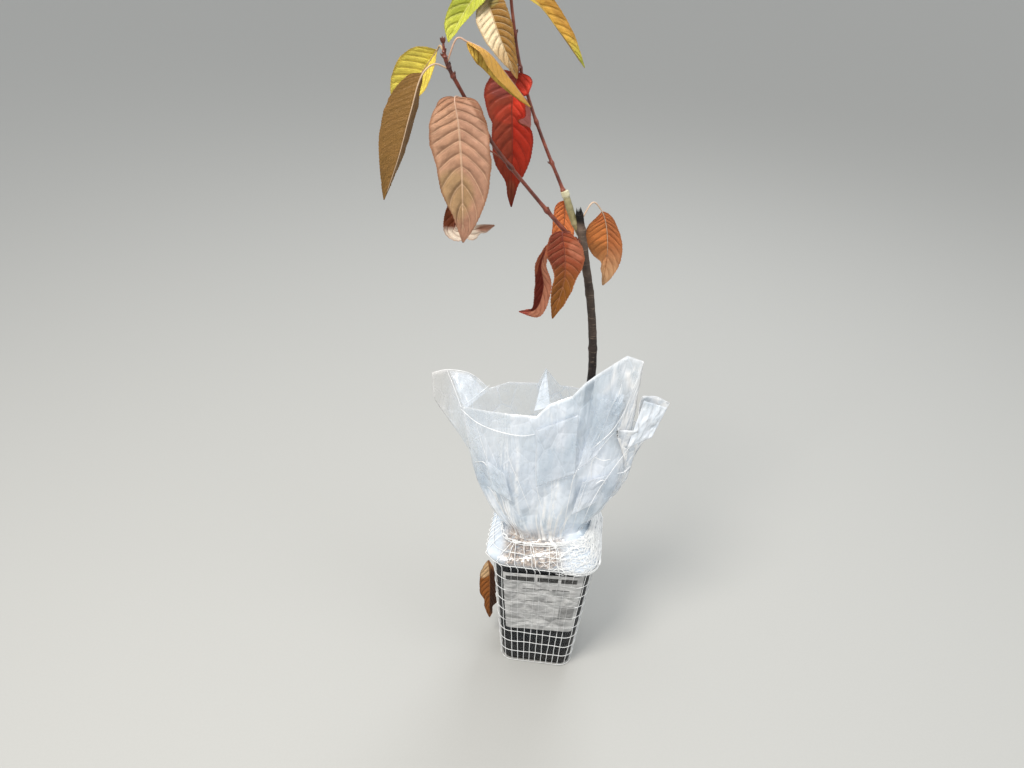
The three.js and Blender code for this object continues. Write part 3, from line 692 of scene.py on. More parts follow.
def makeFilm():
    turn, grid = filmGrid()
    rows = len(grid)
    v = np.linspace(0, 1, rows)[:, None]
    neckRow = film["hemRows"] + film["shoulderRows"]
    rise = np.clip((np.arange(rows)[:, None] - neckRow) / (rows - neckRow - 1), 0, 1)
    shift = crumpled(turn, grid[..., 2], rise)
    outer = grid + gridNormals(grid) * shift[..., None]
    inner = outer - gridNormals(outer) * film["thickness"]
    # The crease value makes the film white and more opaque where it bends sharply: partly the film's own
    # whitening at folds, partly painted highlight. The mouth's rim gets a set value, a painted highlight line
    # along the edge.
    bent = np.zeros(shift.shape)
    bent[1:-1] = shift[2:] + shift[:-2] - 2 * shift[1:-1]
    bent = np.abs(bent) + np.abs(np.roll(shift, 1, 1) + np.roll(shift, -1, 1) - 2 * shift)
    crease = np.clip(bent / 1.1 - 0.1, 0, 1) * (rise > 0)
    crease[-1] = film["edgePaintedHighlight"]
    cloud = np.interp(turn / turnOfColumn, *np.array(film["cloud"]).T)[None]
    cloud = cloud * np.minimum(1, 0.3 + 1.4 * rise)
    skin = Skin(["crease", "cloud"])
    sheet = dict(v=(v, v), crease=(crease, crease), cloud=(cloud, cloud), grid=(outer, inner))
    sheet = {key: np.concatenate([front, back[::-1]]) for key, (front, back) in sheet.items()}
    skin.add(closedRows=True, u=turn[None], **sheet)
    for number, (cloudiness, rough, *corners) in enumerate(film["sheets"]):
        addSheet(skin, cloudiness, rough, np.array(corners, float), number)
    share = np.linspace(0, 1, film["foldRings"])
    # Fold and glint lines carry a high crease value, which paints them white as highlight.
    for size, line in film["foldsAndGlints"]:
        radius = size * (0.3 + 0.7 * np.sin(np.pi * share) ** 0.5)
        fold = tube(through(line, share), radius, film["foldSides"], (0.3, -0.9, 0.2))
        skin.add(fold, crease=0.8, cloud=0.4)
    finished(skin.piece("clearBag", filmFinish()), "bag", "bag")


def addSheet(skin, cloudiness, rough, corners, seed):  # four-cornered, crumpled but for its edges
    side = np.linspace(0, 1, film["sheetRows"])
    x, y = side[None, :, None], side[:, None, None]
    flat = mix(mix(corners[0], corners[1], x), mix(corners[3], corners[2], x), y)
    out = unit(np.cross(corners[1] - corners[0], corners[3] - corners[0]))
    calm = smooth(np.minimum(np.minimum(x, 1 - x), np.minimum(y, 1 - y)) * 7)[..., 0]
    height = facets(side[None] * 5, side[:, None] * 5, 5, 40 + seed)
    height = height + 0.5 * facets(side[None] * 11, side[:, None] * 11, 11, 50 + seed)
    face = flat + out * (rough * height * calm + 1.0)[..., None]
    # The sheets' creases are whitened a little: partly the film's own whitening, partly painted highlight.
    crease = 0.12 * rough * np.clip(np.abs(np.gradient(np.gradient(height, axis=1), axis=1)) * 6, 0, 1)
    crease = np.concatenate([crease, crease[:, ::-1]], axis=1)
    skin.add(**bothSides(face, face - out * film["thickness"], side, side, cloud=cloudiness, crease=crease))


def filmFinish():
    finish = Finish("filmFinish", Roughness=0.14, IOR=1.55, Coat_Weight=1.0, Coat_Roughness=0.05)
    band = finish.band
    across, depth, height = finish.parts(finish.place)
    crease = finish.value("crease")
    streaks = band(finish.noise(1.0, 3.0, 0.5, finish.stretched(44.0, 44.0, 6.0)), 0.45, 0.7)
    clouds = band(finish.noise(12.0, 2.0), 0.36, 0.66)
    bent = finish.stretched(1.0, 1.0, 0.55)
    large = finish.seams(26.0, bent)
    small = finish.seams(74.0, bent)
    lines = band(large, 0.04, 0.0) * 0.5 + band(small, 0.05, 0.0) * 0.2
    body = finish.value("cloud") * (0.66 + clouds * 0.42 + streaks * 0.3) + lines * 0.3
    body = body * band(height, 0.285, 0.32)
    # clearer where it leans out over the front of the shoulder, milky where it is drawn together
    outward = band(depth, -0.05, -0.062) * band(height, 0.34, 0.31) * band(across, 0.05, 0.02)
    neck = band(height, 0.285, 0.31) * band(height, 0.45, 0.35) * (0.45 + streaks * 0.3)
    neck = neck * (1.0 - outward * 0.8)
    shoulderHere = band(height, 0.264, 0.278) * band(height, 0.35, 0.31)
    bunched = band(across, 0.02, 0.06) * 0.75 + band(across, -0.05, -0.08) * 0.6
    tight = band(height, 0.272, 0.26) * 0.01
    litter = band(height, 0.335, 0.29) * band(finish.noise(60.0, 5.0, 0.7), 0.36, 0.48)
    litter = litter * band(across, 0.045, 0.02) * band(across, -0.085, -0.06) * shoulderHere
    alpha = body + neck + litter * 0.7 + tight + crease * 0.55
    alpha = alpha + shoulderHere * (bunched + 0.1 + clouds * 0.2)
    shade = finish.blend(streaks * 0.4 + clouds * 0.6, "cbd9e6", "f0f6ff")
    shade = finish.blend(band(across, -0.165, -0.205) * 0.7, shade, "b9b2aa")
    chips = finish.ramp(finish.noise(170.0, 5.0, 0.7), (0.36, "342a22"), (0.5, "937e6d"), (0.64, "d2c2b0"))
    shade = finish.blend(litter * 0.85, shade, chips)
    # Along creases the base colour turns white and the alpha rises: partly the film's own whitening at folds,
    # partly painted highlight.
    return finish.done(
        large + small * 0.3, 0.006,
        Base_Color=finish.blend(crease, shade, "ffffff"),
        Alpha=finish.node("ShaderNodeClamp", {}, [alpha, 0.01, 0.95]),
        Roughness=band(clouds + streaks * 0.4, 0.2, 1.0, 0.08, 0.2),
    )


makeFilm()
print("film made")


# paper label under the net, creased and wet, with plain printed bars
label = dict(
    low=103, high=257, lowSlope=0.055, highSlope=0.075, left=4.75 * turnOfColumn, right=5.1 * turnOfColumn,
    gap=1.55, thickness=0.25, clear=0.3, rows=120, columns=112,
    ripples=[(0.26, 15, 1.7, 41), (0.12, 6, 1, 42)],  # depth, size, squeeze and seed
    bars=[  # left, right, bottom and top as shares of the sheet, darkness
        (0.03, 0.40, 0.875, 0.952, 1.0), (0.43, 0.70, 0.875, 0.952, 1.0), (0.73, 0.93, 0.875, 0.952, 1.0),
        (0.08, 0.88, 0.862, 0.870, 0.45), (0.24, 0.42, 0.735, 0.757, 0.75),
        (0.45, 0.60, 0.735, 0.757, 0.75), (0.63, 0.86, 0.735, 0.757, 0.75),
        (0.03, 0.97, 0.655, 0.660, 0.5), (0.27, 0.46, 0.520, 0.540, 0.7), (0.49, 0.66, 0.520, 0.540, 0.7),
        (0.05, 0.055, 0.30, 0.60, 0.6), (0.705, 0.711, 0.22, 0.60, 0.6), (0.07, 0.14, 0.44, 0.452, 0.55),
        (0.07, 0.11, 0.39, 0.402, 0.55), (0.07, 0.10, 0.34, 0.352, 0.55), (0.755, 0.965, 0.22, 0.47, 0.5),
        (0.06, 0.66, 0.20, 0.206, 0.4),
    ],
)


def paperFinish():
    finish = Finish("paperFinish", Roughness=0.5)
    band = finish.band
    across, up, _ = finish.parts(finish.uv())
    wet = band(finish.noise(34.0, 4.0), 0.35, 0.7)
    ink = 0.0
    for left, right, bottom, top, dark in label["bars"]:
        inside = band(across, left, left + 0.006) * band(across, right, right - 0.006)
        ink = inside * band(up, bottom, bottom + 0.004) * band(up, top, top - 0.004) * dark + ink
    worn = band(finish.noise(420.0), 0.3, 0.55, 0.8, 1.0)
    warped = finish.stretched(1.0, 1.0, 1.3)
    creases = finish.seams(30.0, warped) + finish.seams(66.0, warped) * 0.35
    return finish.done(
        creases + finish.noise(28.0, 2.0) * 0.8, 0.009,
        Base_Color=finish.blend(ink * worn, finish.blend(wet, "a6a6a6", "c6c6c5"), "141414"),
        Roughness=band(wet, 0.0, 1.0, 0.32, 0.6),
    )


def makeLabel():
    turn = np.linspace(-label["left"], label["right"], label["columns"])
    share = np.linspace(0, 1, label["rows"])[:, None]
    x = wall(turn, label["high"], 0)[..., 0]
    z = mix(label["low"] + label["lowSlope"] * x, label["high"] + label["highSlope"] * x, share)
    flat = stack(turn * 900, share * 160, 0)
    ripple = label["gap"] + label["clear"]
    for depth, size, squeeze, seed in label["ripples"]:
        ripple = ripple + depth * hills(flat * (1, squeeze, 1), size, seed)
    back = wall(turn[None], z, ripple)
    face = wall(turn[None], z, ripple + label["thickness"])
    skin = Skin().add(**bothSides(face, back, np.linspace(0, 1, len(turn)), share))
    finished(skin.piece("paperLabel", paperFinish()), "label", "label")


makeLabel()
print("label made")


# white net: upright strands and hoops, drawn in over the shoulder and bunched on its right
net = dict(
    gap=2.3, strand=0.6, sides=6, lowest=2.3, pitch=29, hoops=9, uprights=44, levelsAbove=[1.55, 2.6, 3.5],
    shoulderShare=0.45, shoulderLift=5, collarShare=0.8, collarLift=3.5,
    seed=5, bunchStrands=120, ropeStrands=5,
    overLabel=dict(front=60, half=66, low=100, high=262, thinner=0.72),
)


def netFinish():
    finish = Finish("netFinish", Roughness=0.38)
    worn = finish.blend(finish.noise(60.0, 4.0), "e6e9ea", "fdfdfd")
    return finish.done(finish.noise(1800.0, 2.0), 0.0002, Base_Color=worn)


def netSurface(turn, up, lift):  # up is 0 at the foot, 1 at the rim band, 2 draped, 3 shoulder, 4 collar
    turn = np.asarray(turn, float)
    band = pot["height"] - pot["rimBand"]
    off = lift + net["gap"]
    low = wall(turn, mix(net["lowest"], band, np.clip(up, 0, 1)), off)
    keys = [wall(turn, band, off), draped(turn, off)]
    for part in ("shoulder", "collar"):
        keys.append(shoulder(turn, net[part + "Share"], net[part + "Lift"] + lift))
    spot = np.clip(up - 1, 0, 2.999)
    first = spot.astype(int)
    part = (spot - first)[..., None]
    lower = np.choose(first[..., None], keys[:3])
    upper = np.choose(first[..., None], keys[1:])
    bulge = 1.2 * np.sin(np.pi * part) * (first[..., None] > 0)
    over = mix(lower, upper, part) + bulge * (0, 0, 1)
    return np.where(up[..., None] <= 1, low, over)


def strandAlong(skin, turn, up, lift, radius):  # thinner over the label
    path = netSurface(turn, up, lift)
    out = netSurface(turn, up, lift + 2) - path
    x, y, z = path.T
    over = net["overLabel"]
    here = smooth((-y - over["front"]) / 8) * smooth((over["half"] - np.abs(x)) / 6)
    here = here * smooth((z - over["low"]) / 6) * smooth((over["high"] - z) / 6)
    skin.add(tube(path, radius * (1 - over["thinner"] * here), net["sides"], unit(out)))


def makeNet():
    random = np.random.default_rng(net["seed"])
    skin = Skin()
    radius = net["strand"]
    up = np.concatenate([np.linspace(0, 1, 42), np.linspace(1.04, 4, 44)])
    for number in range(net["uprights"]):
        sway = np.cumsum(random.normal(0, 0.00045, len(up)))
        sway = sway + 0.012 * np.clip(up - 1.6, 0, 3) * random.normal(0, 0.5)
        lean = 0.010 * np.clip(up - 1.2, 0, 3)
        turn = number * turnOfColumn + sway - lean
        strandAlong(skin, turn, up, radius + 0.25 * np.clip(up - 1, 0, 2), radius)
    turn = np.linspace(0, 1, 361)
    pitch = net["pitch"] / (pot["height"] - pot["rimBand"] - net["lowest"])
    for number, level in enumerate([hoop * pitch for hoop in range(net["hoops"])] + net["levelsAbove"]):
        angle = turn * 2 * np.pi
        sag = 0.012 * np.sin(angle * 3 + number) + 0.006 * np.sin(angle * 11 + number * 2)
        height = np.maximum(level + sag * (0.3 if level < 1 else 4.0), 0.0)
        strandAlong(skin, turn, height, radius, radius)
    finished(skin.piece("whiteNet", netFinish()), "net", "net")


def makeBunch():  # spare net drawn together: wandering strands round the collar and over the right shoulder
    random = np.random.default_rng(net["seed"] + 1)
    skin = Skin()
    share = np.linspace(0, 1, 70)
    for number in range(net["bunchStrands"]):
        start = random.uniform(0.05, 0.33)
        reach = random.uniform(0.10, 0.30)
        base = random.uniform(1.7, 3.6)
        turn = start + reach * (share - 0.3)
        wobble = np.cumsum(random.normal(0, 0.035, len(share)))
        up = np.clip(base + 1.2 * (share - 0.5) * random.uniform(-1, 1.4) + wobble, 1.15, 3.95)
        lift = 1.2 + 2.6 * random.uniform(0, 1) * np.sin(np.pi * share) + 0.2 * random.normal()
        strandAlong(skin, turn, up, lift, net["strand"] * 0.75)
    turn = np.linspace(0, 1, 420)
    for number in range(net["ropeStrands"]):  # the drawn rope at the opening
        twist = turn * 2 * np.pi * (26 + number) + number * 1.3
        up = 3.72 + 0.1 * np.sin(twist) + 0.05 * np.sin(turn * 2 * np.pi * 7 + number)
        strandAlong(skin, turn, up, 1.6 + 0.9 * np.cos(twist), net["strand"] * 0.8)
    finished(skin.piece("netBunch", netFinish()), "net")


makeNet()
makeBunch()
print("net made")


# trunk, grafted stick and shoots with the bark's own relief
stems = dict(
    trunk=dict(
        line=[
            (22, 0, 260.3), (27, 0, 290), (38, 0, 431), (49, 0, 615), (45, 0, 680), (33, 0, 760),
            (16, 0, 836), (6, 0, 886),
        ],
        radii=[11, 7.4, 6.9, 6.6, 6.3, 6.1, 6.4, 5.4], rows=520, sides=56, relief=0.35, ridges=0.3,
        knots=[
            (0.30, 0.10, 0.012), (0.55, 0.14, 0.010), (0.72, 0.12, 0.010), (0.86, 0.12, 0.02),
            (0.93, 0.25, 0.014),
        ],
    ),
    graft_stick=dict(
        line=[(9, 1, 856), (-3, 2, 879), (-18, 5, 916)], radii=[4.6, 5.2, 5], rows=90, sides=40, relief=0.12,
        ridges=0.0, knots=[(0.35, 0.14, 0.05), (0.7, 0.08, 0.04)],
    ),
    leader=dict(
        line=[
            (-11, 4, 898), (-28, 8, 932), (-47, 14, 968), (-75, 25, 1027), (-92, 31, 1073), (-104, 36, 1125),
            (-113, 38, 1189), (-112, 32, 1240), (-108, 27, 1268),
        ],
        radii=[3, 2.5, 2.4, 2.3, 2.2, 2.2, 2.1, 2.2, 1.2], rows=420, sides=28, relief=0.1, ridges=0.0,
        knots=[(at, 0.45, 0.008) for at in (0.07, 0.2, 0.33, 0.44, 0.5, 0.6, 0.7, 0.82, 0.86, 0.9, 0.95)],
    ),
    left_shoot=dict(
        line=[
            (14, 0, 840), (5, -5, 846), (-15, -18, 869), (-64, -38, 928), (-116, -58, 995),
            (-153, -78, 1060), (-171, -90, 1099), (-174, -91, 1119),
        ],
        radii=[4.2, 4, 3.2, 2.6, 2.5, 2.4, 2.5, 1.3], rows=420, sides=28, relief=0.1, ridges=0.0,
        knots=[
            (at, 0.5, 0.008) for at in (0.11, 0.14, 0.17, 0.24, 0.36, 0.5, 0.59, 0.68, 0.78, 0.82, 0.88, 0.92)
        ],
    ),
)
stub = dict(teeth=13, length=13, seed=9, foot=260.3, calmFrom=262, calmReach=6)


def stemPoint(name, shares):
    return through(stems[name]["line"], shares)


def stemAlong(name, shares):
    shares = np.atleast_1d(shares)
    ahead, behind = np.minimum(shares + 1e-3, 1), np.maximum(shares - 1e-3, 0)
    return unit(stemPoint(name, ahead) - stemPoint(name, behind))


def stemRadius(name, shares):
    radii = stems[name]["radii"]
    return np.interp(shares, np.linspace(0, 1, len(radii)), radii)


def stemSkin(name):  # rings round the stem's line, their radius swelling at knots and roughened by bark
    stem = stems[name]
    share = np.linspace(0, 1, stem["rows"])
    path = stemPoint(name, share)
    radius = stemRadius(name, share)
    for at, swell, width in stem["knots"]:
        radius = radius * (1 + swell * hump(share, at, width))
    grid = tube(path, radius, stem["sides"])
    out = unit(grid - path[:, None])
    stretched = grid * (1, 1, 0.35)
    rough = stem["relief"] * (hills(stretched, 3.1, 51) + 0.6 * hills(stretched, 1.4, 52))
    rings = stem["ridges"] * np.maximum(0, hills(grid * (0.35, 0.35, 1), 2.2, 53) - 0.25)
    return path, grid + out * (rough + rings)[..., None]


def makeTrunk():
    path, grid = stemSkin("trunk")
    random = np.random.default_rng(stub["seed"])
    sides = grid.shape[1]
    angle = np.arange(sides) / sides * stub["teeth"]
    low = np.floor(angle).astype(int)
    heights = random.uniform(0, stub["length"], stub["teeth"] + 1)
    tooth = mix(heights[low], heights[low + 1] * 0.2, np.abs(2 * (angle - low) - 1))
    up = stemAlong("trunk", 1.0)[0]
    top = grid[-1]
    crown = [mix(top, path[-1], 0.12 * step) + up * (tooth * (step / 4))[:, None] for step in range(1, 5)]
    rim = crown[-1]
    deeper = up * (tooth * 0.7)[:, None]
    hollow = [mix(rim, path[-1], 0.35) - up * 2.5, mix(rim, path[-1] + up, 0.8) - deeper]
    grid = np.concatenate([grid, crown, hollow])
    flat = grid.copy()  # the foot keeps its flat cut
    flat[..., 2] = np.maximum(flat[..., 2], stub["foot"])
    grid = mix(flat, grid, np.clip((grid[..., 2:] - stub["calmFrom"]) / stub["calmReach"], 0, 1))
    finished(Skin().add(grid).piece("barkTrunk", barkFinish()), "trunk", "trunk")


def barkFinish():
    finish = Finish("barkFinish", Roughness=0.8, Specular_IOR_Level=0.3)
    height = finish.parts(finish.place)[2]
    bands = finish.noise(1.0, over=finish.stretched(55.0, 55.0, 420.0))
    patches = finish.noise(34.0, 4.0)
    low = finish.ramp(patches, (0.3, "120e0d"), (0.55, "261e1c"), (0.75, "4a3d38"))
    high = finish.ramp(patches, (0.3, "3a302b"), (0.55, "574a41"), (0.8, "7c6c60"))
    bark = finish.blend(finish.band(height, 0.6, 0.82), low, high)
    bark = finish.blend(finish.band(bands, 0.58, 0.7) * 0.55, bark, "8a7868")
    dead = finish.band(height + finish.noise(200.0) * 0.006, 0.872, 0.882)
    return finish.done(
        finish.noise(420.0, 5.0, 0.65) + bands * 0.6, 0.0012,
        Base_Color=finish.blend(dead, bark, "100c0a"),
        Roughness=finish.band(patches, 0.3, 0.8, 0.55, 0.85),
    )


def shootFinish(name, dark, mid, light):
    finish = Finish(name, Roughness=0.4)
    tone = finish.noise(60.0, 4.0)
    dots = finish.band(finish.cells(420.0), 0.16, 0.08)
    skin = finish.ramp(tone, (0.3, dark), (0.55, mid), (0.8, light))
    return finish.done(
        finish.noise(700.0) + dots * 0.8, 0.0004,
        Base_Color=finish.blend(dots * 0.7, skin, "c9a88a"),
        Roughness=finish.band(tone, 0.3, 0.8, 0.3, 0.5),
    )


def makeShoots():
    red = shootFinish("shootFinish", "43201a", "743626", "a2604a")
    green = shootFinish("graftFinish", "6c6440", "8f8660", "b4aa84")
    for name, finish in (("leader", red), ("left_shoot", red), ("graft_stick", green)):
        path, grid = stemSkin(name)
        tip = path[-1] + stemAlong(name, 1.0)[0] * 0.6
        grid = np.concatenate([grid, mix(grid[-1:], tip, 0.45), mix(grid[-1:], tip, 0.85)])
        finished(Skin().add(grid).piece("bark_" + name, finish), name, name)


wax = dict(start=0.89, thickness=0.9, reach=1.2)


def makeWax():  # a lumpy coat over the stick's top end
    share = np.linspace(wax["start"], 1, 40)
    path = stemPoint("graft_stick", share)
    end = stemAlong("graft_stick", 1.0)[0]
    radius = stemRadius("graft_stick", share) + wax["thickness"] * smooth((share - wax["start"]) / 0.03)
    grid = tube(path, radius, 40)
    top, rise = grid[-1], end * wax["reach"]
    dome = [mix(top, path[-1], 1 - np.cos(angle)) + rise * np.sin(angle) for angle in (0.4, 0.8, 1.2, 1.5)]
    grid = np.concatenate([grid, dome])
    out = unit(grid - np.concatenate([path, np.repeat(path[-1:], 4, 0)])[:, None])
    grid = grid + out * (0.35 * hills(grid, 3.5, 61))[..., None]
    finish = Finish("waxFinish", Roughness=0.45)
    tone = finish.noise(220.0)
    look = finish.done(tone, 0.0005, Base_Color=finish.blend(tone, "aaa47e", "d2cdb2"))
    finished(Skin().add(grid).piece("waxedTop", look), "graft_wax", "graft_wax")


buds = dict(length=6.5, radius=1.7, rows=14, sides=12, seed=31, tipCluster=3)


def budGrid(foot, way, length, radius):  # a pointed egg along way
    share = np.linspace(0, 1, buds["rows"])
    path = foot + way * (share * length)[:, None]
    profile = radius * np.sin(np.pi * share**0.75) ** 0.8
    reference = (0.0, 1.0, 0.0) if abs(way[1]) < 0.8 else (1.0, 0.0, 0.0)
    return tube(path, profile + 0.05, buds["sides"], reference)


def makeBuds():
    random = np.random.default_rng(buds["seed"])
    skin = Skin()
    for name, first in (("leader", 0.2), ("left_shoot", 0.24)):
        for at, _, _ in stems[name]["knots"]:
            if at < first:
                continue
            foot = stemPoint(name, [at])[0]
            along = stemAlong(name, at)[0]
            side = unit(np.cross(along, random.normal(size=3)))
            way = unit(along * 0.8 + side * 0.6)
            start = foot + side * stemRadius(name, at) * 0.7
            size = random.uniform(0.75, 1.1)
            skin.add(budGrid(start, way, buds["length"] * size, buds["radius"] * size))
        tip = stemPoint(name, [1.0])[0]
        along = stemAlong(name, 1.0)[0]
        for turn in range(buds["tipCluster"]):
            side = unit(np.cross(along, heading(turn * 120 + 20)))
            way = unit(along + side * (0.45 if turn else 0.1))
            skin.add(budGrid(tip - along * 2, way, buds["length"] * 1.35, buds["radius"]))
    finished(skin.piece("shootBuds", shootFinish("budFinish", "2c1210", "5a2a1c", "9a6a48")), "leader")


makeTrunk()
makeShoots()
makeWax()
makeBuds()
print("stems made")


# leaves: the same midribs and outlines as the imported blades, with teeth, veins, quilting and curl
# The crease colour in leafShape is painted shade, multiplied into the vein creases.
leafShape = dict(
    thickness=0.5, stalkRadius=1.15, bendAt=0.55, across=35, rowLength=0.75, toothPitch=3.6, toothDepth=0.9,
    veinPairs=10.5, stations=[0, 0.06, 0.16, 0.3, 0.46, 0.62, 0.76, 0.89, 1], baseHalf=2.2, tipHalf=1,
    evenShape=[0.42, 0.74, 0.96, 1, 0.89, 0.66, 0.35], creasePaintedShade=(0.45, 0.36, 0.3, 1),
    mottle=[(0.3, (0.58, 0.54, 0.5, 1)), (0.5, (0.95, 0.95, 0.95, 1)), (0.72, (1.25, 1.22, 1.15, 1))],
)
# The crease darkness in leafUsual sets how strong that painted shade is.
leafUsual = dict(
    arch=4, faces=(262, 262), fold=14, cup=0.1, quilt=0.9, wave=2.0, rakes=(0.16, 0.16), toTip=(0.62, 0.98),
    creasePaintedShadeStrength=0.3, width=0, bites=(), curls=(), patches=(),
)
paintOrder = ["left", "right", "tip", "base", "edge", "vein", "back", "stalk"]
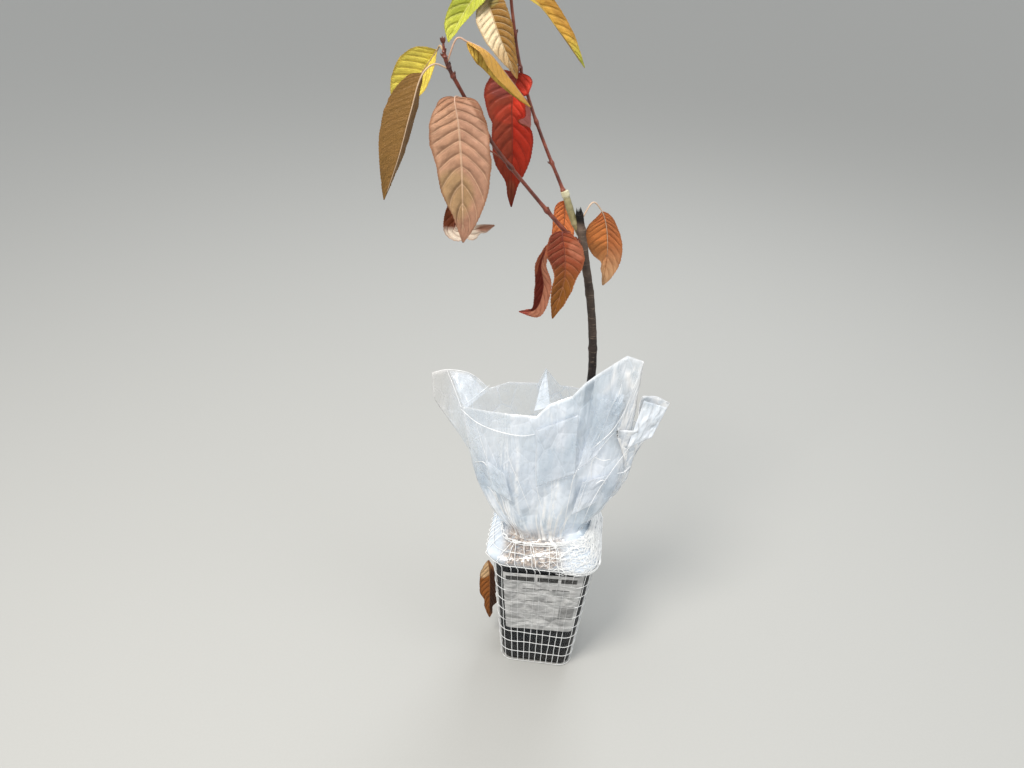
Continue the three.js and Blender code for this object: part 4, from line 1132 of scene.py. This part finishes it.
# half widths run from stalk to tip on the left and right, and paints follow paintOrder; t is -1 on the right
# edge and 1 on the left, s is 0 at the stalk and 1 at the tip. Bites: side, s, depth and size. Curls: side,
# s from and to, lift. Patches: t, s, their reaches, shade and strength.
leaves = dict(
    salmon_leaf=dict(
        stem="left_shoot", at=0.68, arch=2, fold=10, quilt=2.3, rakes=(0.18, 0.13),
        left=[20, 28.5, 35, 37, 32, 27, 11.5], right=[19, 32, 38.5, 42.5, 43.5, 37.5, 22], toTip=(0.8, 1.0),
        midrib=[(-158, -97, 1057), (-151, -110, 1027), (-145, -118, 973), (-142, -118, 876)],
        curls=[(-1, 0.0, 0.55, -8), (1, 0.0, 0.2, -3)],
        paints="b88c70 b2866e b4826a a27258 825438 e0bc9c 9c4a2c c9a48c",
        patches=[(0.4, 0.78, 0.9, 0.12, "ab8f60", 0.6), (-0.95, 0.16, 0.25, 0.22, "7a4c32", 0.7)],
    ),
    bronze_leaf=dict(
        stem="left_shoot", at=0.82, arch=8, width=66, faces=(140, 140), fold=42, cup=-0.1, quilt=1.2,
        midrib=[(-197, -104, 1083), (-210, -116, 1040), (-224, -126, 987), (-244, -130, 930)],
        paints="80602c 5e421c 80542f 785a2a 8f683a 9c7a4a 7a5c2c c9ad90",
    ),
    lime_leaf=dict(
        stem="left_shoot", at=0.92, arch=6, width=60, faces=(240, 240), fold=30, quilt=0.6, creasePaintedShadeStrength=0.1,
        midrib=[(-185, -74, 1106), (-204, -60, 1081), (-229, -47, 1048), (-249, -38, 1018)], wave=1.5,
        # These paints are lightened beyond the leaf's own yellow to make up for the shade on its downward
        # face: painted light standing in for light through the blade.
        paints="f8e868 ecd85e f6ec7c e4cc5c c09c44 b07a34 dcc65c c2a57e",
    ),
    gold_leaf=dict(
        stem="left_shoot", at=0.85, arch=14, width=36, faces=(215, 215), fold=54, quilt=0.6,
        midrib=[(-146, -84, 1120), (-122, -78, 1109), (-96, -64, 1078), (-68, -48, 1041)], wave=1.0,
        paints="eecc60 d08c40 dcc254 e2b854 cc9846 c48e40 cfa048 c9a48c",
        patches=[(-0.95, 0.2, 0.5, 0.32, "8a3a22", 0.85)],
    ),
    brown_curl_leaf=dict(
        stem="left_shoot", at=0.5, faces=(250, 290), cup=0.2, toTip=(0.68, 0.75),
        left=[11, 19, 22, 18, 17, 13, 13], right=[11, 18, 20, 16, 12, 10, 9],
        midrib=[(-129, -34, 977), (-148, -30, 935), (-162, -32, 893), (-168, -43, 863), (-109, -53, 879)],
        wave=3.0, bites=[(1, 0.84, 0.3, 0.02), (1, 0.92, 0.4, 0.02), (-1, 0.88, 0.4, 0.03)],
        paints="6e3418 5a2612 f3e2cf 5a2412 8a5030 8a4a2c f0dcc8 8a4a34",
        patches=[(0.0, 1.0, 1.0, 0.1, "b06a4c", 0.8), (-0.6, 0.7, 0.4, 0.06, "c9907a", 0.6)],
    ),
    red_leaf=dict(
        stem="leader", at=0.5, faces=(268, 262), fold=12, quilt=1.0, creasePaintedShadeStrength=0.14,
        left=[26, 34, 40, 33, 28, 25, 11], right=[20, 24, 20, 22, 32, 27, 10],
        midrib=[(-93, 14, 1070), (-98, 4, 1037), (-95, 0, 982), (-93, 4, 887)],
        curls=[(-1, 0.08, 0.3, 4), (-1, 0.5, 0.6, 7), (1, 0.1, 0.5, -3)], wave=3.0,
        bites=[(-1, 0.30, 0.4, 0.03), (-1, 0.51, 0.6, 0.028), (1, 0.52, 0.12, 0.05), (1, 0.88, 0.3, 0.05)],
        # The left half's duller red and the pinkish brown patch at t 0.45 near the stalk are painted sheen.
        paints="8e3c28 b42c1a 842a12 a63422 7a2416 7a2418 b5533e 8a3a2a",
        patches=[
            (-0.5, 0.285, 0.34, 0.045, "4a2c1e", 0.9), (-0.7, 0.12, 0.5, 0.13, "dc4632", 0.8),
            (-0.35, 0.40, 0.5, 0.06, "d8402a", 0.6), (-0.8, 0.52, 0.3, 0.03, "9a5a3a", 0.8),
            (-0.6, 0.66, 0.5, 0.09, "b8321e", 0.6), (0.45, 0.18, 0.5, 0.16, "8a4642", 0.6),
            (0.2, 0.46, 0.6, 0.08, "c0402a", 0.5), (0.1, 0.92, 0.8, 0.06, "8a5238", 0.5),
        ],
    ),
    beige_leaf=dict(
        stem="leader", at=0.86, arch=-4, fold=16, quilt=2.2, rakes=(0.2, 0.14),
        left=[12, 18.5, 21.5, 20, 17, 11.5, 5], right=[16, 24, 26.5, 26, 21.5, 15, 9],
        midrib=[(-135, 10, 1158), (-125, -6, 1135), (-111, -14, 1107), (-91, -12, 1067)], wave=1.5,
        paints="ecd9b4 946a2c b08444 c8ac7c 94703a f0e0bc b06a34 c2a57e",
        patches=[(0.5, 0.75, 0.6, 0.1, "d0b080", 0.6), (-0.5, 0.1, 0.5, 0.1, "8a9448", 0.4)],
    ),
    green_leaf=dict(
        stem="leader", at=0.9, faces=(240, 250), fold=20, quilt=1.0,
        left=[9, 14, 18, 19.5, 19.5, 19.5, 15], right=[8, 13, 17, 17.5, 16.5, 11, 4.5],
        midrib=[(-123, 20, 1204), (-137, 10, 1179), (-160, 2, 1148), (-185, 0, 1104)], wave=1.8,
        paints="a4aa36 b8be44 d4d858 989c34 9a9a3c e2e68a b8bc58 b0a060",
        patches=[(0.5, 0.7, 0.4, 0.12, "96a032", 0.6), (-0.3, 0.4, 0.5, 0.15, "a4b03a", 0.5)],
    ),
    yellow_leaf=dict(
        stem="leader", at=0.82, arch=6, width=34, faces=(330, 330), fold=46, quilt=0.8,
        midrib=[(-101, 46, 1172), (-75, 56, 1151), (-40, 64, 1111), (-7, 66, 1072)], wave=1.2,
        paints="d8c054 dcac50 b4b84c dcae54 b88a40 e0c46c c2a848 b08a60",
        patches=[(-0.9, 0.4, 0.5, 0.4, "b8803a", 0.6), (0.0, 0.97, 1.0, 0.08, "a8b44c", 0.7)],
    ),
    rust_front_leaf=dict(
        stem="left_shoot", at=0.17, arch=2, faces=(268, 268), rakes=(0.12, 0.12),
        left=[15, 21, 27, 21, 15.5, 15, 9], right=[13, 21, 30, 28, 18.5, 13.5, 8], toTip=(0.42, 0.75),
        midrib=[(-15, -30, 868), (-9, -40, 842), (-6, -44, 802), (-19, -42, 737)],
        curls=[(1, 0.2, 0.45, 6), (-1, 0.1, 0.4, 4)],
        paints="7c3420 96482c 8a541a 7a3222 a86442 cc8c68 b26a44 7a3020",
        patches=[(-0.7, 0.3, 0.5, 0.12, "c47c60", 0.6), (0.5, 0.62, 0.5, 0.14, "7c4216", 0.6)],
    ),
    rust_fold_leaf=dict(
        stem="left_shoot", at=0.11, fold=20, quilt=0.6,
        left=[4, 6, 9, 13, 11, 6, 4], right=[4, 7, 11, 14, 14, 13, 6],
        midrib=[(-30, -6, 841), (-43, -14, 812), (-37, -20, 776), (-47, -24, 740), (-71, -26, 735)],
        curls=[(-1, 0.3, 0.95, -3)], wave=2.5, toTip=(0.8, 0.9),
        paints="641e0e c08064 b4584a a85636 9a5a40 8a3a24 c98a70 7a3020",
        patches=[(0.8, 0.2, 0.5, 0.16, "b0684a", 0.7)],
    ),
    orange_back_leaf=dict(
        stem="graft_stick", at=0.72, arch=5, fold=12, creasePaintedShadeStrength=0.1,
        left=[9, 14, 16, 17, 16, 12, 6], right=[7, 11, 14, 17, 16, 12, 6],
        midrib=[(-17, 20, 897), (-16, 30, 871), (-16, 34, 830), (-15, 32, 787)], wave=1.5,
        paints="fc9458 fa965c ec8a58 fc884c d06c40 9c4424 c98052 b06a48",
    ),
    orange_right_leaf=dict(
        stem="trunk", at=0.985, arch=18, quilt=0.8, creasePaintedShadeStrength=0.14, toTip=(0.55, 0.95),
        left=[12, 21.5, 28, 32.5, 28, 19, 7], right=[9, 13.5, 17, 21.5, 24.5, 21.5, 14],
        midrib=[(38, 16, 887), (46, 22, 865), (52, 26, 825), (51, 24, 768)],
        bites=[(1, 0.80, 0.55, 0.05), (1, 0.9, 0.4, 0.05)],
        paints="d88448 b87044 cca27a e4844c a8683c a8683c c08a60 d9bda4",
        patches=[(0.2, 0.14, 0.5, 0.14, "d87a48", 0.6), (0.5, 0.66, 0.5, 0.12, "a06c3a", 0.5)],
    ),
    back_leaf=dict(
        stem="leader", at=0.44, arch=6, width=44, faces=(100, 95), quilt=0.8,
        midrib=[(-95, 60, 1031), (-98, 74, 993), (-99, 80, 945), (-101, 78, 893)],
        paints="a5503a b8604a a85838 a8483a 8f4028 c88a70 e08f8a 8a4a3a",
    ),
    top_back_leaf=dict(
        stem="leader", at=0.92, arch=8, width=50, faces=(160, 160), fold=18,
        midrib=[(-104, 49, 1252), (-95, 76, 1277), (-84, 105, 1279), (-77, 133, 1256)], wave=1.5,
        paints="b0b840 bcae44 c4a844 9ca43a 9a8434 d8da86 bcb868 a89858",
    ),
    top_left_leaf=dict(
        stem="leader", at=0.97, arch=3, width=34, faces=(290, 290), fold=26, quilt=0.7,
        midrib=[(-120, 22, 1272), (-140, 16, 1296), (-162, 10, 1306), (-184, 6, 1298)], wave=1.2,
        paints="acb83e b4ba44 bcb844 98a434 8c8c34 d0d67c b4bc64 a89858",
    ),
    top_right_leaf=dict(
        stem="leader", at=0.985, arch=3, width=30, faces=(280, 280), fold=26, quilt=0.7,
        midrib=[(-98, 26, 1276), (-82, 26, 1300), (-62, 24, 1312), (-42, 20, 1308)], wave=1.2,
        paints="bab440 c2ac44 c8a044 a4a83c 988434 d8d67e c0b868 a89858",
    ),
    caught_leaf=dict(
        width=38, fold=10, cup=0.2, toTip=(0.8, 1.0),
        midrib=[(-103.5, -16, 204), (-99.9, -18, 160), (-98.2, -20, 110), (-97, -20, 57)], wave=2.5,
        bites=[(-1, 0.55, 0.3, 0.06), (1, 0.7, 0.35, 0.08), (-1, 0.8, 0.4, 0.07)],
        paints="a4622c 3a1c0a 7c4c26 b87c48 6a4020 5a3418 a06a3c 8a5a34",
        # The pale patch near the stalk on the left half is a painted highlight.
        patches=[(0.6, 0.16, 0.7, 0.16, "f4cc9c", 0.95), (-0.6, 0.75, 0.6, 0.2, "2c1608", 0.7)],
    ),
)


def leafLine(leaf):  # points of the stalk, square out of the bark and arching over, then of the midrib
    midrib = np.array(leaf["midrib"], float)
    if "stem" not in leaf:
        return midrib, 0.0
    axis = stemPoint(leaf["stem"], [leaf["at"]])[0]
    along = stemAlong(leaf["stem"], leaf["at"])[0]
    bend = mix(axis, midrib[0], leafShape["bendAt"]) + (0, 0, leaf["arch"])
    out = bend - axis
    out = unit(out - along * (out @ along))
    foot = axis + out * stemRadius(leaf["stem"], leaf["at"]) * 0.8
    line = np.concatenate([[foot, bend], midrib])
    return line, 2 / (len(line) - 1)


def leafFrame(leaf, share):  # centre, way across and way up of the blade at shares of its length
    line, bladeFrom = leafLine(leaf)
    at = mix(bladeFrom, 1, share)
    centre = through(line, at)
    ahead = through(line, np.minimum(at + 1e-3, 1)) - through(line, np.maximum(at - 1e-3, 0))
    along = unit(ahead)
    facing = heading(mix(*leaf["faces"], share))
    up = unit(facing - along * np.sum(facing * along, -1, keepdims=True))
    return centre, np.cross(along, up), up


def leafHalves(leaf, share):  # half widths to the right and left
    even = [value * leaf["width"] / 2 for value in leafShape["evenShape"]]
    halves = []
    for side in ("right", "left"):
        values = [leafShape["baseHalf"], *leaf.get(side, even), leafShape["tipHalf"]]
        dense = through(list(zip(np.multiply(leafShape["stations"], 100), values)), np.linspace(0, 1, 400))
        halves.append(np.interp(share * 100, dense[:, 0], dense[:, 1]))
    return halves


def bladeGrid(leaf, seed):
    # out = half t cos(fold), up = half (|t| sin(fold) + cup t t), plus veins, waves and curls
    line, bladeFrom = leafLine(leaf)
    length = np.linalg.norm(np.diff(through(line, np.linspace(bladeFrom, 1, 60)), axis=0), axis=1).sum()
    rows = int(length / leafShape["rowLength"])
    share = np.linspace(0, 1, rows)
    t = np.sin(np.linspace(-1, 1, leafShape["across"]) * np.pi / 2)[None]
    s = share[:, None]
    far = np.abs(t)
    right, left = leafHalves(leaf, share)
    half = np.where(t > 0, left[:, None], right[:, None])
    for side, at, depth, size in leaf["bites"]:
        half = half * (1 - depth * hump(s, at, size) * (np.sign(t) == side) * far)
    flat = stack(t * 33, s * length, seed * 37.0)
    tooth = (length * s / leafShape["toothPitch"]) % 1 - 0.5
    ragged = 0.7 * hills(flat, 9, 71) + 0.4 * hills(flat, 3.5, 74)
    edge = smooth((far - 0.8) / 0.2)
    edge = edge * smooth(s * 12) * smooth((1 - s) * 9)
    edgeOut = np.sign(t) * edge * (leafShape["toothDepth"] * tooth + ragged)
    fold = np.radians(leaf["fold"])
    rake = np.where(t > 0, leaf["rakes"][1], leaf["rakes"][0])
    vein = leafShape["veinPairs"] * (s * 1.04 - rake * far**1.25) + 0.08 * hills(flat, 14, 72)
    pillow = np.abs(np.sin(np.pi * vein)) ** 0.7 - 0.6
    body = smooth((half * far) / 5) * smooth((1 - far) * 3.5) * smooth(s * 9) * smooth((1 - s) * 7)
    relief = leaf["quilt"] * (pillow + 0.25 * hills(flat, 5, 75)) * body
    groove = -0.9 * hump(t * half, 0, 1.6) * (1 - s)
    wave = leaf["wave"] * far**2 * hills(flat * (0.5, 1, 1), 26, 73) * smooth(half / 14)
    out = half * t * np.cos(fold) + edgeOut
    lift = half * (far * np.sin(fold) + leaf["cup"] * t * t) + relief + groove + wave
    for side, start, stop, amount in leaf["curls"]:
        zone = smooth((s - start) * 8) * smooth((stop - s) * 8) * (np.sign(t) == side)
        roll = zone * smooth((far - 0.45) / 0.55) ** 1.5
        lift = lift + amount * roll
        out = out - np.sign(t) * abs(amount) * 0.12 * roll
    centre, across, up = leafFrame(leaf, share)
    middle = centre[:, None] + across[:, None] * out[..., None] + up[:, None] * lift[..., None]
    normal = unit(np.cross(np.gradient(middle, axis=1), np.gradient(middle, axis=0)))
    normal = normal * np.sign(np.sum(normal * up[:, None], -1, keepdims=True))
    thick = leafShape["thickness"] / 2 * np.maximum(0.35, smooth((1 - far) * 6))
    return share, t[0], middle + normal * thick[..., None], middle - normal * thick[..., None]


def leafFinish(name, leaf, look):
    finish = Finish(name + "Finish", Roughness=0.5, Specular_IOR_Level=0.22)
    band, blend = finish.band, finish.blend
    across, up, _ = finish.parts(finish.uv())
    t = across * 2.0 - 1.0
    far = abs(t)
    blotch = finish.noise(48.0, 5.0, 0.62)
    fine = finish.noise(300.0, 4.0)
    warp = (blotch - 0.5) * 0.1
    rake = band(t, -0.01, 0.01, *leaf["rakes"])
    vein = leafShape["veinPairs"] * (up * 1.04 - rake * far**1.25 + warp * 0.06)
    phase = vein.math("FRACT", vein)
    line = abs(phase - 0.5) * 2.0
    veinLine = band(line, 0.86, 0.98) * band(far, 1.0, 0.8)
    crease = band(line, 0.45, 0.9) * band(far, 1.0, 0.75)
    rib = band(far, 0.05, 0.015)
    net = band(finish.seams(520.0), 0.12, 0.02)
    shade = blend(band(t + warp, -0.06, 0.06), look["right"], look["left"])
    shade = blend(band(up + warp, 0.2, 0.0), shade, look["base"])
    shade = blend(band(up + warp, *leaf["toTip"]), shade, look["tip"])
    for spotT, spotS, reachT, reachS, colour, strength in leaf["patches"]:
        away = ((t - spotT) / reachT) ** 2.0 + ((up - spotS) / reachS) ** 2.0
        shade = blend(band(away + warp * 6.0, 1.3, 0.5) * strength, shade, colour)
    shade = blend(band(far + warp, 0.86, 1.0) * 0.7, shade, look["edge"])
    shade = blend(0.6, shade, finish.ramp(blotch, *leafShape["mottle"]), "MULTIPLY")
    # Painted shade: the colour is darkened in the vein creases, most on the tip side of each pillow, as if
    # the blade were lit from above.
    depth = crease * leaf["creasePaintedShadeStrength"] * (0.35 + phase * 0.65)
    shade = blend(depth, shade, leafShape["creasePaintedShade"], "MULTIPLY")
    shade = blend(veinLine * 0.45 + rib * 0.75 + net * 0.12, shade, look["vein"])
    return finish.done(
        fine * 0.35 + net * -0.3 - crease * 0.5 + rib * 0.5 + finish.noise(110.0, 2.0) * 1.1, 0.0014,
        Base_Color=blend(finish.value("back"), shade, blend(blotch, look["back"], look["edge"])),
        Roughness=band(fine + blotch * 0.5, 0.4, 1.1, 0.36, 0.62),
    )


def stalkFinish(name, look):
    finish = Finish(name + "StalkFinish", Roughness=0.45)
    tone = finish.noise(180.0)
    dark = dimmed(paint(look["stalk"]), 0.6)
    return finish.done(tone, 0.0003, Base_Color=finish.blend(tone, dark, look["stalk"]))


def makeLeaf(name, leaf, seed):
    share, t, face, back = bladeGrid(leaf, seed)
    behind = np.repeat([0.0, 1.0], len(t))[None]
    skin = Skin(["back"]).add(**bothSides(face, back, (t + 1) / 2, share, back=behind))
    line, bladeFrom = leafLine(leaf)
    ribEnd = mix(bladeFrom, 1, 0.94)
    at = np.concatenate([np.linspace(0, bladeFrom, 24)[:-1], np.linspace(bladeFrom, ribEnd, 60)])
    along = np.clip((at - bladeFrom) / (1 - bladeFrom), 0, 1)
    up = leafFrame(leaf, along)[2]
    path = through(line, at) - up * (0.35 * smooth(along * 20))[:, None]
    radius = leafShape["stalkRadius"] * mix(1.0, 0.22, along**0.7) * (1 + 0.5 * hump(at, 0, 0.012))
    skin.add(tube(path, radius, 10, up), slot=1)
    look = dict(zip(paintOrder, leaf["paints"].split()))
    finishes = leafFinish(name, leaf, look), stalkFinish(name, look)
    finished(skin.piece(name.replace("_", "") + "Blade", *finishes), name, name)


for seed, (name, leaf) in enumerate(leaves.items()):
    makeLeaf(name, {**leafUsual, **leaf}, seed)
print("leaves made")
